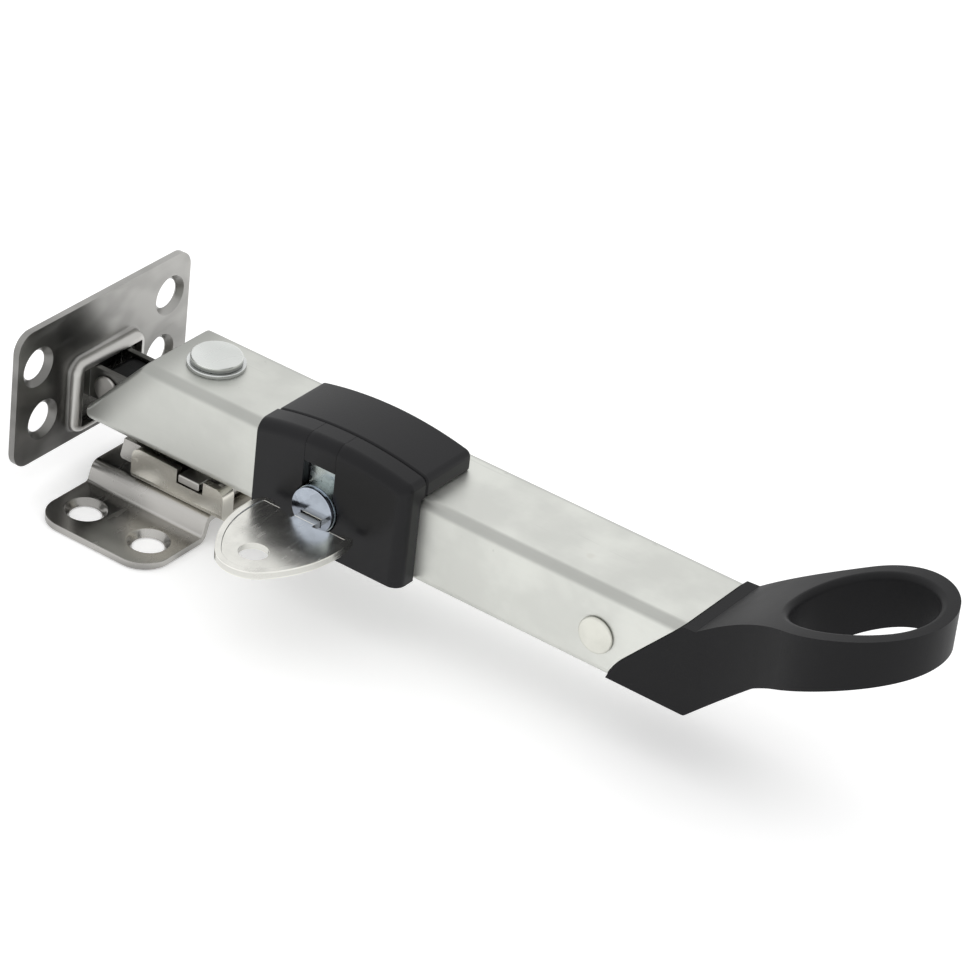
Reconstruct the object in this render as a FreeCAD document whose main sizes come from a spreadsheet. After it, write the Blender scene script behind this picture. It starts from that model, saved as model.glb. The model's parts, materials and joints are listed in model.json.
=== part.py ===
import FreeCAD, Part
import Sketcher
import math
import os
import re

from FreeCAD import Placement, Rotation, Vector

# Locking window stay with a ring grip, in millimetres.
# X runs along the tube from the sash plate to the grip, Y across it, Z up.
# The origin is the swivel axis of the frame bracket, on the face that is screwed down.

SIZES = {
    # Running and seating gaps
    "running_gap": 0.10,
    "free_gap": 0.25,
    "seat_gap": 0.05,
    # Frame bracket, a pressed top-hat strip
    "sheet_gauge": 1.5,
    "bracket_length": 30.4,
    "bracket_reach": 29.2,
    "riser_foot": 12.1,
    "riser_run": 1.5,
    "platform_rise": 4.3,
    "bracket_bend": 0.8,
    "bracket_corner": 6.5,
    "frame_pitch_x": 16.5,
    "frame_pitch_y": 41.0,
    "screw_hole": 6.6,
    "screw_sink": 9.0,
    # Swivel between bracket and carriage
    "swivel_shank": 6.0,
    "swivel_head": 9.0,
    "swivel_foot_rise": 1.6,
    "swivel_head_rise": 0.9,
    "swivel_washer_size": 13.0,
    "swivel_washer_gauge": 0.3,
    # Carriage, a folded saddle under the tube
    "carriage_gauge": 1.6,
    "carriage_width": 22.0,
    "carriage_start": -4.9,
    "carriage_length": 23.9,
    "carriage_rise": 7.8,
    "carriage_fall": 0.5,
    "carriage_bend": 1.8,
    "carriage_corner": 2.2,
    "return_reach": 3.6,
    "notch_start": 6.9,
    "notch_length": 6.8,
    "notch_floor": 10.5,
    # Guide block, its pin and its slide shoe
    "pin_cover": 0.6,
    "guide_pin_size": 3.0,
    "guide_pin_rise": 11.3,
    "guide_start": -9.3,
    "guide_end": 4.4,
    "guide_floor": 8.5,
    "guide_arch": 9.5,
    "guide_shoulder": 13.4,
    "guide_nose_cut": 0.7,
    "guide_nose_round": 0.8,
    "neck_setback": 1.5,
    "neck_start": -5.0,
    "guide_tongue_half": 2.6,
    "shoe_start": -7.5,
    "shoe_length": 22.0,
    "shoe_gauge": 2.9,
    "shoe_corner": 1.5,
    # Brake pawl, its pin and its leaf spring
    "pawl_pin_size": 2.4,
    "pawl_pivot_x": 14.9,
    "pawl_pivot_z": 10.4,
    "pawl_width": 12.4,
    "pawl_heel": 2.3,
    "pawl_chin": 1.5,
    "pawl_nose_x": 7.2,
    "pawl_crest": 14.4,
    "pawl_crest_start": 0.6,
    "pawl_crest_end": 3.4,
    "pawl_nose_drop": 1.4,
    "pawl_nose_round": 2.2,
    "ear_length": 5.4,
    "ear_floor": 10.8,
    "ear_rise": 1.8,
    "leaf_gauge": 0.4,
    "leaf_width": 6.0,
    "leaf_lift": 0.7,
    "leaf_root_gap": 3.0,
    "leaf_foot": 2.0,
    # Tube, a slotted channel section with a slanted nose
    "tube_start": -3.5,
    "tube_floor": 14.5,
    "tube_length": 131.5,
    "tube_width": 22.0,
    "tube_rise": 19.0,
    "tube_wall": 1.3,
    "tube_bend": 2.2,
    "slot_width": 9.2,
    "nose_reach": 13.7,
    "nose_rise": 3.6,
    "nose_round": 1.6,
    "tail_foot": 15.3,
    "tail_knee": 11.3,
    "tail_knee_rise": 6.6,
    "tail_round": 18.0,
    # Top pin, washer, link and sash clevis
    "pin_place": 9.9,
    "pin_shank": 5.0,
    "pin_head": 10.8,
    "pin_head_rise": 1.7,
    "pin_foot": 7.6,
    "pin_foot_rise": 1.0,
    "pin_washer_size": 12.2,
    "pin_washer_gauge": 0.9,
    "link_boss": 12.0,
    "link_eye": 3.2,
    "link_floor": 6.4,
    "link_crown": 16.6,
    "link_ramp": 3.0,
    "link_back_lean": 1.0,
    "link_back_run": 8.5,
    "bushing_wall": 0.8,
    "tilt_place": -13.2,
    "tilt_rise": 5.4,
    "tilt_shank": 3.6,
    "tilt_head": 6.0,
    "tilt_head_rise": 0.7,
    "clevis_width": 11.0,
    "clevis_gauge": 1.3,
    "clevis_eye": 3.5,
    "clevis_reach": 4.8,
    "clevis_saddle": 0.3,
    # Sash plate with its drawn collar
    "plate_face": -19.0,
    "plate_width": 54.0,
    "plate_rise": 31.4,
    "plate_floor": -7.8,
    "plate_corner": 4.2,
    "sash_pitch_top": 41.4,
    "sash_pitch_low": 37.0,
    "sash_row_top": 14.5,
    "sash_row_low": 1.3,
    "draw_width": 22.0,
    "draw_rise": 17.0,
    "draw_floor": -5.4,
    "draw_depth": 2.6,
    "draw_wall": 1.4,
    "draw_lip": 1.9,
    "draw_corner": 3.0,
    "draw_round": 1.7,
    "draw_foot": 0.8,
    # Lock housing on the near side and top of the tube
    "housing_start": 33.3,
    "housing_length": 36.8,
    "housing_floor": 0.3,
    "cheek_gauge": 5.2,
    "housing_reach": 4.8,
    "crown_edge": 4.2,
    "crown_rise": 6.4,
    "seam_inset": 1.2,
    "seam_width": 0.4,
    "shoulder_round": 2.6,
    "cap_round": 1.6,
    "tray_gauge": 1.5,
    "cheek_rivet_start": 4.7,
    "cheek_rivet_end": 5.1,
    "cheek_rivet": 3.0,
    "cheek_rivet_head": 4.6,
    "cheek_rivet_rise": 0.7,
    "cap_wall": 1.6,
    "strip_width": 7.7,
    "strip_depth": 3.4,
    "window_top": 19.4,
    # Lock cylinder, plug, cam and key
    "lock_place": 49.0,
    "lock_rise": 9.9,
    "barrel_size": 10.0,
    "barrel_proud": 0.1,
    "barrel_back": 3.0,
    "plug_size": 8.4,
    "plug_face_size": 9.8,
    "plug_face_gauge": 1.2,
    "plug_back": 3.4,
    "bridge_width": 7.3,
    "bridge_gauge": 3.0,
    "cam_gauge": 1.5,
    "cam_width": 7.0,
    "cam_reach": 7.4,
    "cam_screw_size": 2.5,
    "cam_screw_head": 4.6,
    "cam_screw_rise": 1.5,
    "keyway_gauge": 2.1,
    "key_gauge": 1.8,
    "key_drop": 1.9,
    "key_rim": 1.3,
    "key_panel_depth": 0.2,
    "key_blade_width": 5.0,
    "key_blade_length": 16.0,
    "key_tip_cut": 1.5,
    "key_notch_start": 3.0,
    "key_notch_pitch": 2.4,
    "key_notch_mouth": 1.0,
    "bow_half_width": 11.75,
    "bow_half_length": 18.9,
    "bow_place": -24.0,
    "bow_edge": -18.3,
    "bow_hole": 6.0,
    "bow_hole_place": -35.4,
    # Grip and its rivet
    "rivet_inset": 8.6,
    "rivet_rise": 8.4,
    "rivet_shank": 5.0,
    "rivet_head": 7.8,
    "rivet_head_rise": 0.8,
    "tongue_reach": 26.9,
    "grip_gap": 0.15,
    "grip_tip_x": 3.0,
    "grip_heel_x": 17.8,
    "grip_heel_z": 14.5,
    "grip_end_x": 54.5,
    "grip_end_low": 29.8,
    "grip_end_high": 38.2,
    "grip_crown": 88.6,
    "grip_waist": 42.0,
    "grip_tip_round": 1.2,
    "eye_rim_round": 1.4,
    "ring_x": 31.3,
    "ring_z": 33.5,
    "eye_tilt": 14.0,
    "ring_half_length": 17.5,
    "ring_half_width": 16.9,
    "eye_half_length": 14.3,
    "eye_half_width": 12.8,
}

doc = FreeCAD.newDocument("WindowStay")
sheet = doc.addObject("Spreadsheet::Sheet", "Sizes")
for row, (alias, size) in enumerate(SIZES.items(), start=1):
    sheet.set(f"A{row}", alias)
    sheet.set(f"B{row}", str(size))
    sheet.setAlias(f"B{row}", alias)
doc.recompute()

FUNCTIONS = ("abs", "sqrt", "tan", "atan", "cos", "sin", "max", "min")
EXACT = 1e-6
FAR = "400"
HOUSING_RIVETS = ("housing_start + cheek_rivet_start",
                  "housing_start + housing_length - cheek_rivet_end")
SEAM = "(seam_inset - tube_width / 2)"
BARREL_FRONT = "(-tube_width / 2 - cheek_gauge - barrel_proud)"
LINK_WIDTH = "(clevis_width - 2 * clevis_gauge - 2 * running_gap)"
RIVET_PLACE = "(tongue_reach - rivet_inset)"
KEY_NOTCHES = ("0.6", "1.3", "0.9", "1.5")
BOW_FULLNESS = "1.05"
EYE_FULLNESS = "1.04"


def linked(formula):
    """Turn a formula on the sheet's names into an expression for another object."""
    def point_at_sheet(match):
        word = match.group(0)
        return word if word in FUNCTIONS else f"Sizes.{word}"
    return re.sub(r"[a-z][a-z_]*", point_at_sheet, str(formula))


def size(formula):
    """Work out a formula on the sheet's names as a plain number."""
    return float(sheet.evalExpression(linked(formula)))


def bind(thing, prop, formula):
    """Set a property to a formula, and keep it bound to the sheet."""
    thing.setExpression(prop, linked(formula))


def new_body(name, x="0", y="0", z="0"):
    """Start a body whose own frame stands at x, y, z of the part's frame."""
    body = doc.addObject("PartDesign::Body", name)
    for axis, formula in zip("xyz", (x, y, z)):
        if str(formula) != "0":
            bind(body, f"Placement.Base.{axis}", formula)
    return body


def tube_body(name):
    """Start a body in the tube's frame: X from the end of its top, Z from its underside."""
    return new_body(name, x="tube_start", z="tube_floor")


def new_sketch(body, name, plane, offset="0"):
    """Attach an empty sketch to one of the body's origin planes, lifted along its normal."""
    sketch = body.newObject("Sketcher::SketchObject", name)
    base = next(o for o in body.Origin.OriginFeatures if o.Role == f"{plane}_Plane")
    sketch.AttachmentSupport = [(base, "")]
    sketch.MapMode = "FlatFace"
    if str(offset) != "0":
        bind(sketch, "AttachmentOffset.Base.z", offset)
    return sketch


def hold_point(sketch, item, end, x, y):
    """Hold one point of a sketch at x, y by dimensions bound to the sheet."""
    for kind, formula, axis in (("DistanceX", x, -2), ("DistanceY", y, -1)):
        if abs(size(formula)) < EXACT:
            sketch.addConstraint(Sketcher.Constraint("PointOnObject", item, end, axis))
            continue
        number = sketch.addConstraint(
            Sketcher.Constraint(kind, -1, 1, item, end, size(formula)))
        bind(sketch, f"Constraints[{number}]", formula)


def outline(sketch, corners):
    """Draw a closed outline of lines, or of arcs where a corner states a third value.

    A corner is (x, y) or (x, y, radius): the radius is that of the arc which ends there,
    positive where the arc turns left. All values are formulas.
    """
    places = [Vector(size(c[0]), size(c[1]), 0) for c in corners]
    ends = []
    for number, corner in enumerate(corners):
        start, stop = places[number - 1], places[number]
        if len(corner) == 2:
            item = sketch.addGeometry(Part.LineSegment(start, stop), False)
            ends.append((item, 1, 2))
            continue
        radius = size(corner[2])
        chord = stop - start
        normal = Vector(-chord.y, chord.x, 0).normalize()
        sagitta = abs(radius) - math.sqrt(radius ** 2 - (chord.Length / 2) ** 2)
        side = -1 if radius > 0 else 1
        middle = (start + stop) / 2 + normal * (side * sagitta)
        arc = Part.Arc(start, middle, stop) if radius > 0 else Part.Arc(stop, middle, start)
        item = sketch.addGeometry(arc, False)
        drawn = sketch.Geometry[item]
        forward = drawn.StartPoint.distanceToPoint(start) < EXACT * 100
        ends.append((item, 1, 2) if forward else (item, 2, 1))
        number_of_radius = sketch.addConstraint(Sketcher.Constraint("Radius", item, abs(radius)))
        bind(sketch, f"Constraints[{number_of_radius}]", f"abs({corner[2]})")
    for number, (item, first, last) in enumerate(ends):
        before = ends[number - 1]
        sketch.addConstraint(Sketcher.Constraint("Coincident", before[0], before[2], item, first))
        hold_point(sketch, item, last, corners[number][0], corners[number][1])


def box_outline(sketch, x_low, x_high, y_low, y_high):
    """Draw a rectangle between four formulas."""
    outline(sketch, [(x_low, y_low), (x_high, y_low), (x_high, y_high), (x_low, y_high)])


def circle(sketch, x, y, diameter):
    """Draw a circle, held by its centre and its diameter."""
    centre = Vector(size(x), size(y), 0)
    ring = Part.Circle(centre, Vector(0, 0, 1), size(diameter) / 2)
    item = sketch.addGeometry(ring, False)
    hold_point(sketch, item, 3, x, y)
    number = sketch.addConstraint(Sketcher.Constraint("Diameter", item, size(diameter)))
    bind(sketch, f"Constraints[{number}]", diameter)


def pad(body, sketch, length, symmetric=False, reverse=False):
    """Raise a sketch into a solid."""
    feature = body.newObject("PartDesign::Pad", f"{sketch.Name}Pad")
    feature.Profile = sketch
    feature.SideType = "Symmetric" if symmetric else "One side"
    feature.Reversed = reverse
    bind(feature, "Length", length)
    doc.recompute()
    return feature


def pocket(body, sketch, length=None, symmetric=False, reverse=False):
    """Cut a sketch into the solid, right through where no length is given."""
    before = body.Tip.Shape.Volume
    feature = body.newObject("PartDesign::Pocket", f"{sketch.Name}Cut")
    feature.Profile = sketch
    feature.SideType = "Symmetric" if symmetric else "One side"
    feature.Reversed = reverse
    feature.Refine = True
    bind(feature, "Length", length or FAR)
    doc.recompute()
    if feature.Shape.isNull() or feature.Shape.Volume > before - EXACT:
        raise ValueError(f"{feature.Name} cuts nothing")
    return feature


def straight_edges(body, axis, tolerance=0.02, **places):
    """Name the body's straight edges along an axis that lie at the given coordinates."""
    found = []
    ahead = dict(x=Vector(1, 0, 0), y=Vector(0, 1, 0), z=Vector(0, 0, 1))[axis]
    for number, edge in enumerate(body.Tip.Shape.Edges, start=1):
        if not isinstance(edge.Curve, Part.Line) or edge.Length < 0.05:
            continue
        run = (edge.Vertexes[-1].Point - edge.Vertexes[0].Point).normalize()
        if abs(abs(run.dot(ahead)) - 1) > EXACT:
            continue
        middle = edge.CenterOfMass
        if all(any(abs(getattr(middle, key) - size(one)) < tolerance for one in wanted)
               for key, wanted in places.items()):
            found.append(f"Edge{number}")
    if not found:
        raise ValueError(f"no edge of {body.Name} along {axis} at {places}")
    return found


def dress(body, kind, edges, radius):
    """Add a fillet or a chamfer to named edges."""
    before = body.Tip
    feature = body.newObject(f"PartDesign::{kind}", f"{body.Name}{kind}")
    feature.Base = (before, edges)
    bind(feature, "Radius" if kind == "Fillet" else "Size", radius)
    doc.recompute()
    if feature.Shape.isNull() or "Invalid" in feature.State:
        raise ValueError(f"{feature.Name} fails on {edges}")
    return feature


def sunk_holes(body, sketch):
    """Drill through holes with a countersink at each circle of a sketch."""
    before = body.Tip.Shape.Volume
    feature = body.newObject("PartDesign::Hole", f"{sketch.Name}Drill")
    feature.Profile = sketch
    feature.DepthType = "ThroughAll"
    feature.HoleCutType = "Countersink"
    feature.HoleCutCustomValues = True
    bind(feature, "Diameter", "screw_hole")
    bind(feature, "HoleCutDiameter", "screw_sink")
    feature.HoleCutCountersinkAngle = 90
    doc.recompute()
    if feature.Shape.Volume > before - EXACT:
        feature.Reversed = True
        doc.recompute()
    return feature


def plus_minus(formula):
    """Give a formula and its opposite, for a pair on both sides of the middle."""
    return (formula, f"-({formula})")


# Frame bracket: the top-hat strip that is screwed to the window frame
def make_frame_bracket():
    body = new_body("frame_bracket")
    slant = "tan(atan(platform_rise / riser_run) / 2)"
    foot, crest = "riser_foot", "riser_foot - riser_run"
    under_foot = f"riser_foot - sheet_gauge * {slant}"
    under_crest = f"{under_foot} - riser_run"
    half = [
        ("bracket_reach", "0"), ("bracket_reach", "sheet_gauge"), (foot, "sheet_gauge"),
        (crest, "sheet_gauge + platform_rise"),
    ]
    below = [(under_crest, "platform_rise"), (under_foot, "0")]
    mirrored = [(f"-({y})", z) for y, z in reversed(half)]
    mirrored_below = [(f"-({y})", z) for y, z in reversed(below)]
    strip = new_sketch(body, "StripSection", "YZ")
    outline(strip, half + mirrored + mirrored_below + below)
    pad(body, strip, "bracket_length", symmetric=True)
    tight = (straight_edges(body, "x", y=plus_minus(foot), z=["sheet_gauge"])
             + straight_edges(body, "x", y=plus_minus(under_crest), z=["platform_rise"]))
    dress(body, "Fillet", tight, "bracket_bend")
    wide = (straight_edges(body, "x", y=plus_minus(crest), z=["sheet_gauge + platform_rise"])
            + straight_edges(body, "x", y=plus_minus(under_foot), z=["0"]))
    dress(body, "Fillet", wide, "bracket_bend + sheet_gauge")
    corners = straight_edges(body, "z", x=plus_minus("bracket_length / 2"),
                             y=plus_minus("bracket_reach"))
    dress(body, "Fillet", corners, "bracket_corner")
    screws = new_sketch(body, "FrameScrews", "XY", offset="sheet_gauge")
    for x in plus_minus("frame_pitch_x / 2"):
        for y in plus_minus("frame_pitch_y / 2"):
            circle(screws, x, y, "screw_hole")
    sunk_holes(body, screws)
    seat = new_sketch(body, "SwivelHole", "XY")
    circle(seat, "0", "0", "swivel_shank")
    pocket(body, seat, "2 * platform_rise + 2 * sheet_gauge", symmetric=True)
    return body


# Swivel rivet and washer: they carry the carriage on the bracket's platform
def make_swivel():
    platform = "platform_rise + sheet_gauge"
    floor_top = f"{platform} + swivel_washer_gauge + carriage_gauge + running_gap"
    rivet = new_body("swivel_rivet")
    half = new_sketch(rivet, "SwivelSection", "XZ")
    foot = "platform_rise - swivel_foot_rise"
    outline(half, [
        ("0", foot), ("swivel_head / 2", foot), ("swivel_head / 2", "platform_rise"),
        ("swivel_shank / 2", "platform_rise"), ("swivel_shank / 2", floor_top),
        ("swivel_head / 2", floor_top), ("swivel_head / 2", f"{floor_top} + swivel_head_rise"),
        ("0", f"{floor_top} + swivel_head_rise"),
    ])
    revolve(rivet, half, "z")
    washer = new_body("swivel_washer", z=platform)
    ring = new_sketch(washer, "SwivelWasherRing", "XY")
    circle(ring, "0", "0", "swivel_washer_size")
    circle(ring, "0", "0", "swivel_shank + running_gap")
    pad(washer, ring, "swivel_washer_gauge")
    return rivet, washer


# Carriage: a folded saddle that swivels on the bracket and holds guide and pawl
def make_carriage():
    body = new_body("carriage", x="carriage_start",
                    z="platform_rise + sheet_gauge + swivel_washer_gauge")
    side = new_sketch(body, "SaddleSide", "XZ")
    outline(side, [("0", "0"), ("carriage_length", "0"),
                   ("carriage_length", "carriage_rise - carriage_fall"),
                   ("0", "carriage_rise")])
    pad(body, side, "carriage_width", symmetric=True)
    dress(body, "Fillet", straight_edges(body, "y", x=["0"], z=["carriage_rise"])
          + straight_edges(body, "y", x=["carriage_length"], z=["carriage_rise - carriage_fall"]),
          "carriage_corner")
    dress(body, "Fillet", straight_edges(body, "x", y=plus_minus("carriage_width / 2"), z=["0"]),
          "carriage_bend")
    inside = new_sketch(body, "SaddleInside", "XY", offset="carriage_gauge")
    inner = "carriage_width / 2 - carriage_gauge"
    box_outline(inside, "-1", "carriage_length - carriage_gauge", f"-({inner})", inner)
    pocket(body, inside, "carriage_rise", reverse=True)
    gate = new_sketch(body, "ReturnGate", "XY", offset="carriage_gauge")
    gap = "carriage_width / 2 - return_reach"
    box_outline(gate, "carriage_length / 2", "carriage_length + 1", f"-({gap})", gap)
    pocket(body, gate, "carriage_rise", reverse=True)
    notch = new_sketch(body, "SideNotch", "XZ")
    left = "notch_start - carriage_start"
    depth = "notch_floor - platform_rise - sheet_gauge - swivel_washer_gauge"
    box_outline(notch, left, f"{left} + notch_length", depth, "carriage_rise + 1")
    pocket(body, notch, "2 * carriage_width", symmetric=True)
    seat = new_sketch(body, "CarriageSwivelHole", "XY")
    circle(seat, "-carriage_start", "0", "swivel_shank + running_gap")
    pocket(body, seat, "3 * carriage_gauge", symmetric=True)
    pins = new_sketch(body, "CarriagePinHoles", "XZ")
    drop = "platform_rise + sheet_gauge + swivel_washer_gauge"
    circle(pins, "-carriage_start", f"guide_pin_rise - ({drop})", "guide_pin_size")
    circle(pins, "pawl_pivot_x - carriage_start", f"pawl_pivot_z - ({drop})", "pawl_pin_size")
    pocket(body, pins, "carriage_width - 2 * pin_cover", symmetric=True)
    return body


def cross_pin(name, x, z, diameter, length):
    """Make a straight pin across the part, centred on the middle."""
    pin = doc.addObject("Part::Cylinder", name)
    bind(pin, "Radius", f"({diameter}) / 2")
    bind(pin, "Height", length)
    pin.Placement.Rotation = Rotation(Vector(1, 0, 0), 90)
    bind(pin, "Placement.Base.x", x)
    bind(pin, "Placement.Base.y", f"({length}) / 2")
    bind(pin, "Placement.Base.z", z)
    return pin


def revolve(body, sketch, axis, angle=360):
    """Turn a half section about one of the body's own axes."""
    feature = body.newObject("PartDesign::Revolution", f"{sketch.Name}Turned")
    feature.Profile = sketch
    line = next(o for o in body.Origin.OriginFeatures if o.Role == f"{axis.upper()}_Axis")
    feature.ReferenceAxis = (line, [""])
    feature.Angle = angle
    doc.recompute()
    return feature


# Guide block: cast in zinc, it rocks on its pin and its neck passes the tube's slot
def make_guide():
    block = new_body("guide_block")
    side = new_sketch(block, "GuideSide", "XZ")
    step = "carriage_start - free_gap"
    outline(side, [
        ("guide_start + guide_nose_cut", "guide_floor", "guide_nose_round"),
        (step, "guide_floor"), (step, "guide_arch"),
        ("guide_end", "guide_arch"), ("guide_end", "guide_shoulder"),
        ("guide_start + guide_nose_round", "guide_shoulder"),
        ("guide_start", "guide_floor + guide_nose_cut"),
    ])
    inner_width = "carriage_width - 2 * carriage_gauge - 2 * free_gap"
    pad(block, side, inner_width, symmetric=True)
    neck = new_sketch(block, "GuideNeck", "XY", offset="guide_shoulder - seat_gap")
    half_neck = "slot_width / 2 - free_gap"
    box_outline(neck, "guide_start + neck_setback", "guide_end", f"-({half_neck})", half_neck)
    shoe_floor = "tube_floor + tube_wall + free_gap"
    pad(block, neck, f"{shoe_floor} - guide_shoulder + seat_gap")
    head = new_sketch(block, "GuideTongue", "XY", offset=f"{shoe_floor} - seat_gap")
    box_outline(head, "neck_start", "guide_end", "-guide_tongue_half", "guide_tongue_half")
    pad(block, head, "shoe_gauge / 2 + seat_gap")
    hole = new_sketch(block, "GuidePinHole", "XZ")
    circle(hole, "0", "guide_pin_rise", "guide_pin_size + running_gap")
    pocket(block, hole, "2 * carriage_width", symmetric=True)
    shoe = new_body("slide_shoe", z=shoe_floor)
    plan = new_sketch(shoe, "ShoePlan", "XY")
    half_shoe = "tube_width / 2 - tube_wall - 3 * free_gap"
    box_outline(plan, "shoe_start", "shoe_start + shoe_length", f"-({half_shoe})", half_shoe)
    pad(shoe, plan, "shoe_gauge")
    dress(shoe, "Fillet", straight_edges(
        shoe, "z", x=["shoe_start", "shoe_start + shoe_length"], y=plus_minus(half_shoe)), "shoe_corner")
    seat = new_sketch(shoe, "ShoeSeat", "XY")
    box_outline(seat, "neck_start - seat_gap", "guide_end + seat_gap",
                "-(guide_tongue_half + seat_gap)", "guide_tongue_half + seat_gap")
    pocket(shoe, seat, "shoe_gauge / 2 + seat_gap", reverse=True)
    pin = cross_pin("guide_pin", "0", "guide_pin_rise", "guide_pin_size",
                    "carriage_width - 2 * pin_cover")
    return block, shoe, pin


# Brake pawl: its crest bears on the tube's lips, its ears stand in the side notches
def make_pawl():
    pawl = new_body("brake_pawl")
    side = new_sketch(pawl, "PawlSide", "XZ")
    outline(side, [
        ("pawl_nose_x", "ear_floor - pawl_chin"), ("pawl_pivot_x", "pawl_pivot_z - pawl_heel"),
        ("pawl_pivot_x + pawl_heel", "pawl_pivot_z", "pawl_heel"),
        ("pawl_pivot_x", "pawl_pivot_z + pawl_heel", "pawl_heel"),
        ("pawl_nose_x + pawl_crest_end", "pawl_crest"),
        ("pawl_nose_x + pawl_crest_start", "pawl_crest"),
        ("pawl_nose_x", "pawl_crest - pawl_nose_drop", "pawl_nose_round"),
    ])
    pad(pawl, side, "pawl_width", symmetric=True)
    ears = new_sketch(pawl, "PawlEars", "XZ")
    box_outline(ears, "pawl_nose_x", "pawl_nose_x + ear_length", "ear_floor",
                "ear_floor + ear_rise")
    pad(pawl, ears, "carriage_width - seat_gap", symmetric=True)
    hole = new_sketch(pawl, "PawlPinHole", "XZ")
    circle(hole, "pawl_pivot_x", "pawl_pivot_z", "pawl_pin_size + running_gap")
    pocket(pawl, hole, "2 * carriage_width", symmetric=True)
    pin = cross_pin("pawl_pin", "pawl_pivot_x", "pawl_pivot_z", "pawl_pin_size",
                    "carriage_width - 2 * pin_cover")
    spring = new_body("brake_spring",
                      z="platform_rise + sheet_gauge + swivel_washer_gauge + carriage_gauge")
    leaf = new_sketch(spring, "LeafSide", "XZ")
    root, tip = "pawl_pivot_x - leaf_root_gap", "pawl_nose_x + leaf_gauge"
    outline(leaf, [
        (f"{root} - leaf_foot", "0"), (root, "0"), (root, "leaf_gauge"), (tip, "leaf_gauge + leaf_lift"),
        (tip, "leaf_lift"), (f"{root} - leaf_foot", "leaf_gauge / 2"),
    ])
    pad(spring, leaf, "leaf_width", symmetric=True)
    return pawl, pin, spring


def turned_pin(name, x, z, half_grip, shank, head, head_rise):
    """Turn a rivet that lies across the tube, with a rounded head at both ends."""
    body = new_body(name, x=f"tube_start + {x}", z=f"tube_floor + {z}")
    half = new_sketch(body, f"{name}_section", "XY")
    crown = f"{half_grip} + {head_rise}"
    ease = f"{head_rise} * 0.6"
    outline(half, [
        ("0", f"-({crown})"), (f"{head} / 2 - {ease}", f"-({crown})"),
        (f"{head} / 2", f"{ease} - ({crown})", ease), (f"{head} / 2", f"-({half_grip})"),
        (f"{shank} / 2", f"-({half_grip})"), (f"{shank} / 2", half_grip),
        (f"{head} / 2", half_grip), (f"{head} / 2", f"{crown} - {ease}"),
        (f"{head} / 2 - {ease}", crown, ease), ("0", crown),
    ])
    revolve(body, half, "y")
    return body


# Tube: a slotted channel with a slanted nose and a curved tail
def make_tube():
    body = tube_body("tube")
    section = new_sketch(body, "TubeSection", "YZ", offset="-nose_reach")
    side, roof, lip = "tube_width / 2", "tube_rise", "slot_width / 2"
    inner, ceiling = "tube_width / 2 - tube_wall", "tube_rise - tube_wall"
    right = [(lip, "0"), (side, "0"), (side, roof)]
    left = [(f"-({y})", z) for y, z in reversed(right)]
    inside = [(lip, "tube_wall"), (inner, "tube_wall"), (inner, ceiling)]
    inside_left = [(f"-({y})", z) for y, z in reversed(inside)]
    outline(section, right + left + [(y, z) for y, z in reversed(inside_left)]
            + [(y, z) for y, z in reversed(inside)])
    pad(body, section, "tube_length + nose_reach")
    dress(body, "Fillet", straight_edges(body, "x", y=plus_minus(side), z=["0", roof]), "tube_bend")
    dress(body, "Fillet", straight_edges(body, "x", y=plus_minus(inner), z=["tube_wall", ceiling]),
          "tube_bend - tube_wall")
    nose = new_sketch(body, "NoseCut", "XZ")
    outline(nose, [
        ("-nose_reach - 1", "-1"), ("nose_round * 1.4 - nose_reach", "-1"),
        ("nose_round * 1.4 - nose_reach", "0"), ("-nose_reach", "nose_rise", "-nose_round - 1"),
        ("0", roof), ("0", f"{roof} + 1"), ("-nose_reach - 1", f"{roof} + 1"),
    ])
    pocket(body, nose, "2 * tube_width", symmetric=True)
    dress(body, "Fillet", slanted_edges(body, "nose_reach", "tube_rise - nose_rise",
                                        plus_minus(side)), "tube_wall * 0.75")
    tail = new_sketch(body, "TailCut", "XZ")
    outline(tail, [
        ("tube_length", f"{roof} + 1"), ("tube_length", roof),
        ("tube_length - tail_knee", "tail_knee_rise"), ("tube_length - tail_foot", "0", "tail_round"),
        ("tube_length - tail_foot", "-1"), ("tube_length + 1", "-1"),
        ("tube_length + 1", f"{roof} + 1"),
    ])
    pocket(body, tail, "2 * tube_width", symmetric=True)
    near = new_sketch(body, "NearWallHoles", "XZ", offset=side)
    circle(near, "lock_place", "lock_rise", "barrel_size")
    for x in HOUSING_RIVETS:
        circle(near, x, "lock_rise", "cheek_rivet")
    pocket(body, near, "2 * tube_wall")
    top = new_sketch(body, "TopPinHole", "XY", offset=roof)
    circle(top, "pin_place", "0", "pin_shank")
    pocket(body, top, "2 * tube_wall")
    rivet = new_sketch(body, "GripRivetHole", "XZ")
    circle(rivet, f"tube_length - {RIVET_PLACE}", "rivet_rise", "rivet_shank")
    pocket(body, rivet, "2 * tube_width", symmetric=True)
    return body


def slanted_edges(body, run, rise, sides):
    """Name the long edges that lie along a slope in the planes y = sides."""
    slope = Vector(size(run), 0, size(rise)).normalize()
    found = []
    for number, edge in enumerate(body.Tip.Shape.Edges, start=1):
        if not isinstance(edge.Curve, Part.Line):
            continue
        ahead = (edge.Vertexes[-1].Point - edge.Vertexes[0].Point).normalize()
        level = any(abs(edge.CenterOfMass.y - size(side)) < 0.02 for side in sides)
        if level and abs(abs(ahead.dot(slope)) - 1) < EXACT:
            found.append(f"Edge{number}")
    return found


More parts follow.
